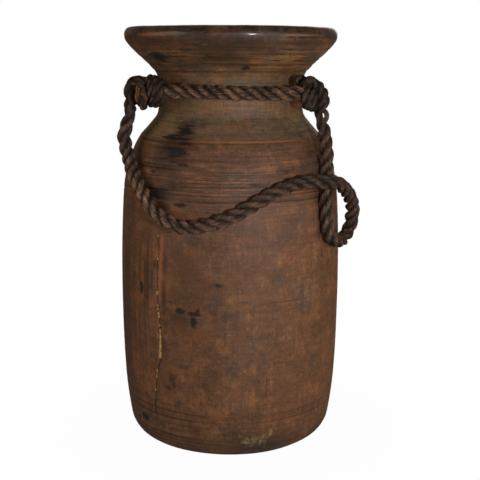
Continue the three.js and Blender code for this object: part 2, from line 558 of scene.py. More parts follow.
@dataclass(frozen=True)
class OldWood:
    """Old hardwood, turned, handled to a low sheen and stained."""

    height: float = 0.392

    def tints(self) -> list[tuple[float, Colour]]:
        """Lists the wood's colour from the foot to the lip."""
        rows = [
            (0.0, (80, 56, 38)),
            (12.0, (86, 60, 40)),
            (40.0, (98, 65, 42)),
            (120.0, (98, 65, 41)),
            (190.0, (99, 65, 42)),
            (250.0, (98, 66, 49)),
            (274.0, (94, 65, 48)),
            (286.0, (98, 67, 47)),
            (293.0, (99, 69, 48)),
            (296.0, (101, 83, 62)),
            (312.0, (101, 83, 63)),
            (320.0, (104, 78, 53)),
            (345.0, (102, 78, 53)),
            (358.0, (97, 73, 50)),
            (372.0, (94, 67, 45)),
            (382.0, (68, 46, 33)),
            (386.0, (31, 22, 18)),
            (392.0, (29, 22, 19)),
        ]
        return [(z * MM / self.height, srgb(*colour)) for z, colour in rows]

    def material(self) -> bpy.types.Material:
        """Makes the wood's material.

        Returns:
            The material.
        """
        paint = Paint("old_turned_wood")
        place = paint.place()
        drift = paint.sway(place, 11, 2)
        broad = paint.sway(place, 30, 4, 0.62, 0.7)
        other = paint.sway(paint.shift(place, (3.1, 1.7, 0.4)), 40, 4, 0.64, 0.9)
        third = paint.sway(paint.shift(place, (0.3, 5.2, 2.6)), 66, 4, 0.64, 0.5)
        smear = paint.sway(paint.stretch(place, (0.30, 0.30, 1)), 120, 4, 0.62)
        mottle = paint.sway(place, 150, 5, 0.68)
        speckle = paint.sway(place, 430, 3, 0.65)
        streak = paint.sway(paint.stretch(place, (1, 1, 0.07)), 280, 4, 0.62)
        grain = paint.sway(paint.stretch(place, (1, 1, 0.09)), 720, 3, 0.6)
        fibre = paint.sway(paint.stretch(place, (1, 1, 0.12)), 1700, 2, 0.6)
        fleck = paint.sway(paint.stretch(place, (0.8, 0.8, 1)), 980, 2, 0.6)
        turned = paint.sway(paint.stretch(place, (0.022, 0.022, 1)), 520, 6, 0.76)
        skip = paint.sway(paint.stretch(place, (0.10, 0.10, 1)), 640, 3, 0.6)
        hair = paint.sway(paint.stretch(place, (0.016, 0.016, 1)), 300, 3, 0.5)
        thin = (hair * hair).rise(0.016, 0.0) * (third + other).rise(-0.5, 0.4)
        beside = ((hair - 0.22) * (hair - 0.22)).rise(0.014, 0.0) * (smear + third).rise(-0.2, 0.5)
        lathed = paint.sway(paint.stretch(place, (0.03, 0.03, 1)), 250, 3, 0.6)

        height = paint.wire("ShaderNodeSeparateXYZ", {}, {0: place}, output="Z")
        colour = paint.ramp(height * (1 / self.height) + drift * 0.003, self.tints())
        lathe = paint.painted("lathe")
        upright = (1 - lathe * 0.75) * (0.35 + 0.9 * third.rise(-0.35, 0.45))

        colour = paint.blend(other.rise(-0.15, 0.60) * 0.40, colour, srgb(124, 74, 44))
        colour = paint.blend(third.rise(-0.05, 0.65) * 0.36, colour, srgb(124, 86, 54))
        colour = paint.blend(broad.rise(-0.05, 0.60) * 0.55, colour, srgb(76, 60, 54))
        colour = paint.blend(mottle.rise(0.15, 0.70) * 0.40, colour, srgb(52, 42, 35))
        colour = paint.blend(speckle.rise(0.25, 0.75) * 0.22, colour, srgb(150, 112, 78))

        level = 1.02 + 0.20 * other + 0.30 * mottle + 0.26 * speckle + 0.22 * third + 0.20 * smear
        level = level * (1 + upright * (streak * 0.30 + grain * 0.16 + fibre * 0.08))
        level = level * (1 + fleck * 0.16)
        level = level * (1 + lathe * (turned * 0.52 + lathed * 0.34 + skip * 0.26))
        level = level * (1 - lathe * (turned + 0.5 * skip).rise(-0.18, -0.55) * 0.60)
        level = level * (1 - upright * fibre.rise(0.45, 0.85) * 0.25)
        level = level * (1 - lathe * thin * 0.55)
        colour = paint.tone(colour, level.top(0.15))
        glint = lathe * (turned + 0.5 * skip).rise(0.20, 0.55) * third.rise(-0.5, 0.3)
        colour = paint.blend((glint * 0.62).top(lathe * beside * 0.55), colour, srgb(164, 102, 60))

        raised = height.rise(0.226, 0.246)
        ragged = mottle * 0.42 + speckle * 0.26
        ragged = ragged + raised * (turned * 0.40 + skip * 0.40)
        ragged = ragged + (1 - raised) * (streak * 0.30 + grain * 0.20)
        # Rust-coloured marks, and among them a painted highlight down the body's right edge.
        rust = (paint.painted("rust") + ragged * 0.45).rise(0.22, 0.85)
        colour = paint.blend(rust * 0.72, colour, srgb(150, 92, 56))
        moss = (paint.painted("moss") + ragged * 0.5).rise(0.15, 0.85)
        colour = paint.blend(moss * 0.70, colour, srgb(60, 56, 44))
        scorch = (paint.painted("scorch") + ragged * 0.50).rise(0.08, 0.80)
        colour = paint.blend(scorch * 0.78, colour, srgb(58, 29, 18))
        # Soot marks, and among them painted shade down the body's left edge.
        soot = (paint.painted("soot") + ragged * 0.45).rise(0.12, 0.95)
        colour = paint.blend(soot * 0.72, colour, srgb(44, 34, 28))
        pale = (paint.painted("pale") + ragged * 0.55).rise(0.35, 0.85)
        colour = paint.blend(pale * 0.70, colour, srgb(146, 122, 84))
        char = (paint.painted("char") + ragged * 0.66).rise(0.24, 0.58)
        colour = paint.blend(char * 0.92, colour, srgb(23, 21, 22))
        colour = paint.blend(paint.painted("cut"), colour, srgb(32, 20, 13))
        colour = paint.blend(paint.painted("inside") * 0.75, colour, srgb(38, 26, 19))

        lip = height.rise(0.3825, 0.3865)
        rough = 0.61 + 0.09 * mottle + 0.06 * speckle - 0.12 * lip - lathe * (0.14 + 0.08 * turned)
        rough = rough + char * 0.10 + pale * 0.12
        normal = paint.relief(upright * (grain + fibre * 0.6), 0.00020, 0.6)
        normal = paint.relief(lathe * (turned + lathed), 0.00026, 0.7, normal)
        normal = paint.relief(mottle, 0.00035, 0.5, normal)
        return paint.surface(
            Base_Color=colour,
            Roughness=rough,
            Normal=normal,
            Specular_IOR_Level=0.36,
            Coat_Weight=lip * 0.55,
            Coat_Roughness=0.16,
        )


@dataclass(frozen=True)
class DryPutty:
    """Pale putty, dry and grimy."""

    def material(self) -> bpy.types.Material:
        """Makes the putty's material.

        Returns:
            The material.
        """
        paint = Paint("dry_putty")
        place = paint.place()
        lump = paint.cloud(place, 420, 4, 0.6)
        grain = paint.cloud(place, 2400, 3, 0.6)
        colour = paint.ramp(
            lump * 0.75 + grain * 0.25,
            [
                (0.30, srgb(86, 60, 32)),
                (0.46, srgb(150, 112, 62)),
                (0.60, srgb(186, 148, 92)),
                (0.75, srgb(204, 172, 118)),
            ],
        )
        normal = paint.relief(lump, 0.0006, 0.7)
        normal = paint.relief(grain, 0.0002, 0.6, normal)
        return paint.surface(Base_Color=colour, Roughness=0.82, Normal=normal)


@dataclass(frozen=True)
class WornRope:
    """Dark greasy rope whose crests are worn tan where wear is high."""

    wear: float = 0.5
    light: float = 1.15

    def material(self, name: str) -> bpy.types.Material:
        """Makes the rope's material.

        Args:
            name: The material's name.

        Returns:
            The material.
        """
        paint = Paint(name)
        lie = paint.wire("ShaderNodeAttribute", {"attribute_name": "lie"}, output="Vector")
        place = paint.place()
        crest = paint.painted("crest")
        tan = paint.painted("tan")
        fibre = paint.sway(paint.stretch(lie, (1, 1, 0.10)), 1050, 3, 0.7)
        yarn = paint.sway(paint.stretch(lie, (1, 1, 0.12)), 520, 2, 0.5)
        patch = paint.sway(place, 85, 3, 0.55)
        dirt = paint.sway(place, 320, 4, 0.6)

        # Lighter on the strand crests and darker in the valleys between them: partly dirt, partly painted
        # shade.
        body = 0.10 + crest * 0.38 + fibre * 0.34 + yarn * 0.12 + dirt * 0.15 + patch * 0.10
        colour = paint.ramp(
            body,
            [
                (0.00, srgb(14 * self.light, 10 * self.light, 8 * self.light)),
                (0.25, srgb(38 * self.light, 28 * self.light, 22 * self.light)),
                (0.50, srgb(68 * self.light, 51 * self.light, 41 * self.light)),
                (0.75, srgb(102 * self.light, 79 * self.light, 63 * self.light)),
                (1.00, srgb(140 * self.light, 111 * self.light, 88 * self.light)),
            ],
        )
        worn = (patch + 0.5 * dirt + tan * 1.2).rise(0.55 - 0.85 * self.wear, 1.0 - 0.85 * self.wear)
        colour = paint.blend(tan * (0.45 + 0.3 * yarn), colour, srgb(104, 70, 40), "OVERLAY")
        worn = worn * crest.rise(0.30, 0.95) * (fibre + 0.4 * yarn).rise(-0.25, 0.50)
        colour = paint.blend(worn * 0.85, colour, srgb(158, 106, 64))
        # Scales the colour by a level set along the run: partly grime, partly painted light and shade.
        colour = paint.tone(colour, paint.painted("grime"))
        normal = paint.relief(fibre, 0.00045, 0.9)
        normal = paint.relief(yarn, 0.0006, 0.8, normal)
        return paint.surface(
            Base_Color=colour,
            Roughness=0.66 + 0.10 * fibre,
            Normal=normal,
            Specular_IOR_Level=0.30,
        )


# The studio


@dataclass
class Studio:
    """The camera, the lights, the pale floor and the white surroundings."""

    eye: Point = (0.00855, -0.88255, 0.37292)
    pitch: float = 11.7
    roll: float = -0.3
    lens: float = 69.375
    sensor: float = 36.0
    floor_radius: float = 4.0

    def sight_line(self, across: float, down: float) -> np.ndarray:
        """Gives the direction in which the camera sees a place in the photograph, without its roll.

        Args:
            across: Pixels from the photograph's left edge.
            down: Pixels from its top edge.

        Returns:
            The direction, of any length.
        """
        pitch = math.radians(self.pitch)
        ahead = np.array([0, math.cos(pitch), -math.sin(pitch)])
        above = np.array([0, math.sin(pitch), math.cos(pitch)])
        beside = np.array([1.0, 0, 0])
        middle = PHOTO_SIDE / 2
        reach = self.lens / self.sensor * PHOTO_SIDE
        return ahead * reach + beside * (across - middle) + above * (middle - down)

    def make_camera(self) -> bpy.types.Object:
        """Makes the camera at the photograph's place.

        Returns:
            The camera.
        """
        data = bpy.data.cameras.new("camera")
        data.lens = self.lens
        data.sensor_width = self.sensor
        data.clip_start = 0.01
        camera = bpy.data.objects.new("camera", data)
        camera.location = self.eye
        camera.rotation_euler = (math.radians(90 - self.pitch), math.radians(self.roll), 0)
        bpy.context.scene.collection.objects.link(camera)
        bpy.context.scene.camera = camera
        return camera

    def make_lamp(
        self, name: str, place: Point, aim: Point, size: tuple[float, float], power: float, colour: Point
    ) -> bpy.types.Object:
        """Makes a soft box.

        Args:
            name: The lamp's name.
            place: Where it stands.
            aim: What it points at.
            size: Its width and height.
            power: Its power in watts.
            colour: Its colour.

        Returns:
            The lamp.
        """
        data = bpy.data.lights.new(name, "AREA")
        data.shape = "ELLIPSE"
        data.size, data.size_y = size
        data.energy = power
        data.color = colour
        lamp = bpy.data.objects.new(name, data)
        lamp.location = place
        lamp.rotation_euler = (Vector(aim) - Vector(place)).to_track_quat("-Z", "Y").to_euler()
        bpy.context.scene.collection.objects.link(lamp)
        return lamp

    def light(self) -> None:
        """Sets the lights and the surroundings."""
        self.make_lamp("key", (0.34, -0.86, 0.34), (0, 0, 0.24), (0.08, 0.08), 4.4, (0.96, 1.0, 1.02))
        self.make_lamp("side", (0.98, -0.36, 0.13), (0, 0, 0.2), (0.6, 0.4), 2.7, (1.0, 0.74, 0.48))
        self.make_lamp("fill", (-1.1, -0.55, 0.4), (0, 0, 0.2), (0.8, 0.8), 3.1, (1.0, 0.87, 0.70))
        self.make_lamp("back", (0.15, 1.25, 0.55), (0, 0, 0.2), (0.9, 0.9), 3.0, (1.0, 0.90, 0.78))
        world = bpy.data.worlds.new("surroundings")
        bpy.context.scene.world = world
        world.use_nodes = True
        nodes, links = world.node_tree.nodes, world.node_tree.links
        nodes.clear()
        ray = nodes.new("ShaderNodeLightPath")
        tint = nodes.new("ShaderNodeMix")
        tint.data_type = "RGBA"
        tint.inputs[6].default_value = (0.16, 0.125, 0.09, 1)
        tint.inputs[7].default_value = (1, 1, 1, 1)
        sky = nodes.new("ShaderNodeBackground")
        out = nodes.new("ShaderNodeOutputWorld")
        links.new(ray.outputs["Is Camera Ray"], tint.inputs[0])
        links.new(tint.outputs[2], sky.inputs["Color"])
        links.new(sky.outputs[0], out.inputs["Surface"])

    def lay_floor(self) -> bpy.types.Object:
        """Lays the pale floor, which fades into the white surroundings.

        Returns:
            The floor.
        """
        sides, radii = 64, np.array([0.15, 0.3, 0.5, 0.8, 1.4, 2.4, self.floor_radius])
        turn = 2 * np.pi * np.arange(sides) / sides
        rings = np.stack([np.cos(turn), np.sin(turn)], 1)[None] * radii[:, None, None]
        corners = np.concatenate([rings.reshape(-1, 2), [[0, 0]]])
        ring = np.arange(len(radii) - 1)[:, None] * sides
        side = np.arange(sides)[None]
        after = (side + 1) % sides
        quads = np.stack([ring + side, ring + sides + side, ring + sides + after, ring + after], -1)
        skin = Skin()
        skin.add(np.c_[corners, np.full(len(corners), -0.0004)], quads.reshape(-1, 4))
        skin.faces.extend([[len(corners) - 1, i, (i + 1) % sides] for i in range(sides)])
        floor = skin.build("floor")
        paint = Paint("pale_floor")
        paper = paint.wire("ShaderNodeBsdfDiffuse", {}, {"Color": (0.5, 0.5, 0.5, 1)})
        glow = paint.wire("ShaderNodeEmission", {}, {"Color": (1, 1, 1, 1), "Strength": 1.0})
        reach = paint.wire("ShaderNodeVectorMath", {"operation": "LENGTH"}, {0: paint.place()}, "Value")
        seen = paint.wire("ShaderNodeLightPath", output="Is Camera Ray")
        share = seen * (0.98 + 0.02 * reach.rise(0.12, 0.32))
        mixed = paint.wire("ShaderNodeMixShader", {}, {0: share, 1: paper, 2: glow})
        paint.node("ShaderNodeOutputMaterial", {}, {"Surface": mixed})
        floor.data.materials.append(paint.material)
        return floor


# The rope


@dataclass
class RopeRun:
    """One run of laid rope along a smooth route."""

    route: Sequence[Point]
    radius: float = 0.006
    strands: int = 3
    lay: float = 0.034
    phase: float = 0.0
    spacing: float = 0.0010
    sides: int = 45
    blunt_start: float = 0.0
    blunt_end: float = 0.0
    taper_end: float = 0.0
    slim: tuple[float, float] = (1.0, 1.0)
    tan: float = 0.0
    # A level along the run that scales the rope's colour: partly grime, partly painted light and shade.
    grime: tuple[tuple[float, float], ...] = ((0.0, 1.0),)
    fuzz: int = 0
    seed: int = 1

    def section(self, turn: np.ndarray) -> np.ndarray:
        """Gives the rope's outline as a share of its radius.

        Args:
            turn: Angles round the rope, counted from the crest of a strand.

        Returns:
            The distance from the middle at each angle.
        """
        if self.strands == 1:
            return 0.97 + 0.03 * np.cos(7 * turn)
        step = 2 * np.pi / self.strands
        away = np.abs((turn + step / 2) % step - step / 2)
        return 1.07 * np.cos(away) ** 0.8

    def lay_in(self, skin: Skin) -> np.ndarray:
        """Adds the run to a skin.

        Args:
            skin: The skin that takes it.

        Returns:
            The run's centreline.
        """
        line = smooth_route(self.route, self.spacing)
        along, first, second = carried_frames(line)
        run = np.concatenate([[0], np.cumsum(np.linalg.norm(np.diff(line, axis=0), axis=1))])
        uneven = Unevenness(self.seed)
        drift = uneven.at(np.c_[run, run * 0 + 3.1, run * 0], (28, 1, 1))
        twist = 2 * np.pi * run / self.lay + self.phase + 0.35 * drift
        turn = 2 * np.pi * np.arange(self.sides) / self.sides
        share = self.section(turn)
        swell = 1 + 0.035 * uneven.at(np.c_[run, run * 0 + 9.7, run * 0], (70, 1, 1))
        left, right = run, run[-1] - run
        for reach, away in ((self.blunt_start, left), (self.blunt_end, right)):
            if reach:
                swell = swell * np.sqrt(np.clip(1 - (1 - np.clip(away / reach, 0, 1)) ** 2, 0.02, 1))
        if self.taper_end:
            swell = swell * (0.62 + 0.38 * smoothstep(0, self.taper_end, right))
        for least, away in zip(self.slim, (left, right)):
            swell = swell * (least + (1 - least) * smoothstep(0.004, 0.024, away))
        angle = twist[:, None] + turn[None]
        strand = np.floor((turn / (2 * np.pi) * self.strands + 0.5) % self.strands)
        fat = uneven.at(
            np.stack(
                [np.repeat(run, self.sides), np.tile(strand, len(run)) * 7.3, np.zeros(angle.size)], 1
            ),
            (95, 1, 1),
        ).reshape(angle.shape)
        place = np.stack(
            [np.cos(angle) + self.seed, np.sin(angle), np.repeat(run[:, None], self.sides, 1)], -1
        ).reshape(-1, 3)
        yarn = uneven.at(place, (2.6, 2.6, 55)).reshape(angle.shape)
        tuft = uneven.at(place + 7.7, (5.5, 5.5, 190)).reshape(angle.shape)
        reach = self.radius * swell[:, None] * share[None] * (1 + 0.05 * fat)
        reach = reach * (1 + 0.055 * yarn + 0.035 * tuft)
        out = np.cos(angle)[..., None] * first[:, None] + np.sin(angle)[..., None] * second[:, None]
        rings = line[:, None] + reach[..., None] * out
        lie = np.stack(
            [
                self.radius * np.cos(angle) + self.seed * 0.37,
                self.radius * np.sin(angle),
                np.broadcast_to(run[:, None], angle.shape),
            ],
            -1,
        )
        crest = (share - share.min()) / max(1e-6, share.max() - share.min())
        if self.strands == 1:
            crest = np.full(self.sides, 0.8)
        crest = np.broadcast_to(crest[None], angle.shape) * (0.85 + 0.15 * fat) + 0.25 * yarn
        places, levels = np.array(self.grime).T
        level = np.broadcast_to(np.interp(run / run[-1], places, levels)[:, None], angle.shape)
        skin.add_tube(rings, lie=lie, crest=crest, tan=np.full(angle.shape, self.tan), grime=level)
        if self.fuzz:
            self.add_fuzz(skin, rings, lie, along, out, level)
        return line

    def add_fuzz(
        self,
        skin: Skin,
        rings: np.ndarray,
        lie: np.ndarray,
        along: np.ndarray,
        out: np.ndarray,
        level: np.ndarray,
    ) -> None:
        """Adds loose fibres that stand off the rope.

        Args:
            skin: The skin that takes them.
            rings: The rope's corners, ring by ring.
            lie: The painted lie of the fibres, laid out as the rings are.
            along: The rope's direction at each ring.
            out: The outward direction at each corner.
            level: How light the rope is at each corner.
        """
        chance = np.random.default_rng(self.seed + 500)
        last = len(rings) - 6
        for _ in range(self.fuzz):
            at = int(chance.integers(5, last))
            side = int(chance.integers(0, self.sides))
            length = chance.uniform(0.0016, 0.0052)
            ahead = along[at] * chance.choice([-1, 1])
            away = out[at, side]
            across = np.cross(ahead, away) * chance.uniform(-0.7, 0.7)
            lean = chance.uniform(0.10, 0.30)
            bend = chance.uniform(-0.16, 0.16)
            t = np.linspace(0, 1, 4)[:, None]
            hair = rings[at, side] - away * 0.0002 + length * (
                ahead * t + (away * lean + across) * t + (away * bend) * t**2
            )
            thick = 0.00009 * (1 - 0.6 * t)
            _, one, two = carried_frames(hair)
            three = [
                hair + thick * (np.cos(a) * one + np.sin(a) * two) for a in (0.0, 2.094, 4.189)
            ]
            tube = np.stack(three, 1)
            skin.add_tube(
                tube,
                lie=np.broadcast_to(lie[at, side], (4, 3, 3)),
                crest=np.full((4, 3), chance.uniform(0.5, 1.2)),
                tan=np.full((4, 3), self.tan),
                grime=np.full((4, 3), level[at, side]),
            )


@dataclass
class RopeWork:
    """What all the rope on the jug shares."""

    radius: float = 0.0060
    lay: float = 0.0355

    def make(
        self, name: str, runs: Sequence[RopeRun], finish: bpy.types.Material
    ) -> tuple[bpy.types.Object, np.ndarray]:
        """Makes one object from runs of rope.

        Args:
            name: The object's name.
            runs: The runs.
            finish: Its material.

        Returns:
            The object and the first run's centreline.
        """
        skin = Skin()
        lines = [run.lay_in(skin) for run in runs]
        piece = skin.build(name)
        piece.data.materials.append(finish)
        LOG.info("%s: %d corners, %.0f mm", name, skin.count, 1000 * line_length(lines[0]))
        return piece, lines[0]


def line_length(line: np.ndarray) -> float:
    """Measures a line of points."""
    return float(np.linalg.norm(np.diff(line, axis=0), axis=1).sum())


def in_metres(points: Sequence[Point]) -> list[Point]:
    """Turns points from millimetres into metres."""
    return [(x * MM, y * MM, z * MM) for x, y, z in points]


@dataclass
class HandleRope(RopeWork):
    """The loose handle: it hangs from the left knot, crosses the front and loops at the right."""

    length: float = 0.54
    diameter: float = 0.012
    route: tuple[Point, ...] = (
        (-0.08996, -0.04507, 0.32331),
        (-0.08996, -0.04507, 0.31731),
        (-0.0926, -0.042, 0.308),
        (-0.095, -0.042, 0.3005),
        (-0.096, -0.042, 0.294),
        (-0.095, -0.043, 0.288),
        (-0.092, -0.047, 0.2785),
        (-0.0883, -0.0555, 0.2677),
        (-0.0832, -0.0667, 0.2584),
        (-0.0785, -0.0748, 0.2506),
        (-0.0732, -0.0809, 0.2427),
        (-0.0662, -0.0875, 0.2345),
        (-0.0557, -0.0953, 0.2275),
        (-0.045, -0.101, 0.223),
        (-0.0345, -0.1051, 0.2224),
        (-0.0197, -0.1087, 0.2252),
        (-0.0042, -0.11, 0.2302),
        (0.0111, -0.109, 0.2369),
        (0.0265, -0.1056, 0.2458),
        (0.0418, -0.0996, 0.2535),
        (0.0576, -0.0906, 0.2586),
        (0.0729, -0.086, 0.26),
        (0.0825, -0.084, 0.26),
        (0.0917, -0.079, 0.2584),
        (0.1, -0.069, 0.2534),
        (0.1077, -0.054, 0.2443),
        (0.1128, -0.04, 0.2314),
        (0.1134, -0.031, 0.2166),
        (0.1105, -0.0305, 0.2055),
        (0.1032, -0.043, 0.2),
        (0.0948, -0.061, 0.2035),
        (0.0898, -0.0657, 0.2097),
        (0.0877, -0.0677, 0.2188),
        (0.0865, -0.068, 0.2316),
        (0.0864, -0.0664, 0.2449),
        (0.0864, -0.063, 0.257),
        (0.0868, -0.0576, 0.2696),
        (0.0864, -0.0566, 0.284),
        (0.0852, -0.0562, 0.2945),
        (0.0834, -0.0563, 0.3025),
        (0.0808, -0.0563, 0.3088),
        (0.0788, -0.0562, 0.3145),
        (0.0787, -0.0561, 0.3225),
    )
    loose_strand: tuple[Point, ...] = (
        (0.0798, -0.0575, 0.3203),
        (0.0830, -0.0582, 0.3196),
        (0.0852, -0.0580, 0.3172),
        (0.0857, -0.0576, 0.3142),
        (0.0847, -0.0573, 0.3110),
        (0.0824, -0.0570, 0.3085),
    )
    # Painted light and shade along the handle, partly grime too: lighter where it swings down from the left
    # knot, darker at the loop and at both ends.
    grime: tuple[tuple[float, float], ...] = (
        (0.0, 0.72),
        (0.05, 0.88),
        (0.10, 1.4),
        (0.15, 1.6),
        (0.21, 1.8),
        (0.28, 1.6),
        (0.32, 1.05),
        (0.42, 0.98),
        (0.48, 0.74),
        (0.55, 0.68),
        (0.64, 0.88),
        (0.70, 0.52),
        (0.74, 0.55),
        (0.78, 1.05),
        (0.90, 1.12),
        (0.95, 0.8),
        (1.0, 0.7),
    )

    def hang(self) -> bpy.types.Object:
        """Returns:
            The handle.
        """
        main = RopeRun(
            self.route,
            self.radius,
            lay=self.lay,
            phase=0.6,
            blunt_start=0.003,
            blunt_end=0.003,
            slim=(0.80, 0.46),
            grime=self.grime,
            fuzz=520,
            seed=3,
        )
        stray = RopeRun(
            self.loose_strand,
            0.0022,
            strands=1,
            sides=15,
            blunt_start=0.002,
            blunt_end=0.002,
            grime=((0.0, 0.6), (1.0, 0.6)),
            seed=4,
        )
        piece, line = self.make(
            "rope_handle", [main, stray], WornRope(wear=0.25, light=1.40).material("handle_rope_worn")
        )
        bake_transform(piece)
        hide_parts("handle_rope")
        return piece


@dataclass
class NeckRope(RopeWork):
    """The rope round the neck, which swings out to a knot at each side."""

    hug: float = 0.07495
    height: float = 0.3355
    knot_distance: float = 0.08745
    left_angle: float = 200.0
    right_angle: float = -28.0

    def ring(self) -> list[Point]:
        """Follows the neck from one side of the right knot round to the other.

        Returns:
            The route.
        """
        points = []
        for i in range(97):
            angle = self.right_angle + 0.23 + 359.54 * i / 96
            reach = self.hug
            for knot in (self.left_angle, self.right_angle):
                away = abs((angle - knot + 540) % 360 - 180)
                straight = self.knot_distance / math.cos(math.radians(min(away, 60)))
                behind = knot == self.right_angle and angle < 100
                start, end = (0, 21) if behind else (12.5, 42)
                share = float(smoothstep(start, end, np.array(away)))
                reach += (1 - share) * (straight - self.hug)
            turn = math.radians(angle)
            sag = 0.0009 * math.sin(2 * turn + 0.4)
            points.append((reach * math.cos(turn), reach * math.sin(turn), self.height + sag))
        return points

    def tie(self) -> bpy.types.Object:
        """Makes the neck rope.

        Returns:
            The neck rope.
        """
        run = RopeRun(self.ring(), self.radius, lay=0.033, phase=1.9, fuzz=320, seed=11)
        finish = WornRope(wear=0.95, light=1.55).material("neck_rope_worn")
        piece, _ = self.make("rope_round_neck", [run], finish)
        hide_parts("neck_rope")
        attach(piece, "neck_ring")
        return piece


@dataclass
class LeftKnot(RopeWork):
    """The left knot: a round bight at its left, a frayed tongue in front and three tight turns."""

    core: tuple[Point, ...] = ((-86.6, -42.0, 336.4), (-74.7, -45.0, 335.6), (-64.6, -48.0, 334.9))
    leg: tuple[Point, ...] = (
        (-90.6, -44.2, 314.5),
        (-90.0, -45.1, 318.6),
        (-89.6, -45.1, 323.3),
        (-87.4, -43.0, 327.8),
        (-83.6, -38.0, 330.9),
        (-78.5, -34.0, 333.3),
    )
    lobe: tuple[Point, ...] = (
        (-73.5, -30.0, 338.5),
        (-78.0, -36.0, 341.6),
        (-82.6, -43.0, 342.9),
        (-86.9, -48.0, 341.4),
        (-88.8, -50.5, 336.8),
        (-88.2, -50.5, 331.4),
        (-85.0, -48.0, 328.0),
        (-80.0, -42.0, 326.6),
        (-75.0, -36.0, 327.9),
    )
    arch: tuple[Point, ...] = (
        (-86.7, -49.0, 337.6),
        (-85.3, -54.0, 340.9),
        (-80.7, -58.0, 344.2),
        (-75.7, -59.5, 344.1),
        (-71.3, -60.0, 340.2),
    )
    tongue: tuple[Point, ...] = (
        (-79.6, -45.0, 340.0),
        (-78.2, -56.0, 339.6),
        (-77.2, -63.0, 335.0),
        (-76.9, -64.0, 330.0),
        (-76.6, -62.6, 324.6),
        (-76.2, -61.0, 319.2),
    )
    eye: tuple[Point, ...] = (
        (-80.3, -65.5, 337.4),
        (-79.0, -66.5, 340.0),
        (-76.4, -67.5, 340.4),
        (-75.3, -68.5, 338.1),
        (-76.8, -69.3, 336.0),
        (-78.7, -68.8, 336.7),
    )
    fold: tuple[Point, ...] = (
        (-78.2, -68.3, 332.9),
        (-75.6, -69.6, 334.0),
        (-74.1, -69.2, 331.5),
        (-74.6, -68.6, 327.2),
        (-75.6, -66.5, 323.3),
    )
    turns: tuple[tuple[Point, ...], ...] = (
        (
            (-69.9, -48.0, 328.7),
            (-70.5, -45.0, 338.3),
            (-70.9, -52.0, 345.9),
            (-70.0, -60.0, 344.1),
            (-68.8, -67.5, 336.6),
            (-68.7, -64.0, 328.7),
            (-69.0, -56.0, 324.9),
            (-69.3, -50.0, 328.8),
        ),
        (
            (-65.2, -52.0, 329.8),
            (-65.6, -49.5, 339.3),
            (-66.0, -56.0, 345.4),
            (-65.3, -64.0, 343.4),
            (-64.2, -70.5, 335.9),
            (-64.1, -67.0, 328.2),
            (-64.6, -60.0, 325.0),
            (-65.1, -53.0, 329.0),
        ),
        (
            (-60.9, -54.5, 330.8),
            (-61.2, -53.5, 340.4),
            (-61.7, -59.0, 343.5),
            (-61.2, -66.0, 341.7),
            (-60.2, -72.5, 335.5),
            (-60.2, -69.0, 329.0),
            (-60.9, -62.0, 326.3),
            (-61.3, -56.0, 330.0),
        ),
    )

    def tie(self) -> bpy.types.Object:
        """Makes the knot.

        Returns:
            The knot.
        """
        runs = [
            RopeRun(
                in_metres(self.core), 0.0080, lay=0.028, blunt_start=0.006, blunt_end=0.005, fuzz=50, seed=20
            ),
            RopeRun(
                in_metres(self.leg), 0.0054, lay=self.lay, phase=2.2, blunt_start=0.006, fuzz=40, seed=21
            ),
            RopeRun(in_metres(self.lobe), 0.0058, lay=0.029, phase=1.0, fuzz=110, seed=23),
            RopeRun(
                in_metres(self.arch), 0.0041, lay=0.024, blunt_start=0.003, blunt_end=0.003, fuzz=70, seed=25
            ),
            RopeRun(
                in_metres(self.tongue),
                0.0062,
                lay=0.055,
                phase=1.2,
                blunt_start=0.004,
                taper_end=0.014,
                blunt_end=0.004,
                tan=0.8,
                fuzz=90,
                seed=24,
            ),
        ]
        runs += [
            RopeRun(
                in_metres(route),
                radius,
                strands=1,
                sides=12,
                blunt_start=0.0015,
                blunt_end=0.0015,
                tan=1,
                seed=seed,
            )
            for route, radius, seed in ((self.eye, 0.0017, 26), (self.fold, 0.0018, 27))
        ]
        runs += [
            RopeRun(in_metres(route), 0.0039, lay=0.023, phase=0.7 * i, spacing=0.0008, fuzz=120, seed=28 + i)
            for i, route in enumerate(self.turns)
        ]
        piece, _ = self.make("knot_left", runs, WornRope(wear=0.08, light=0.98).material("left_knot_worn"))
        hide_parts("left_knot")
        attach(piece, "neck_ring")
        return piece


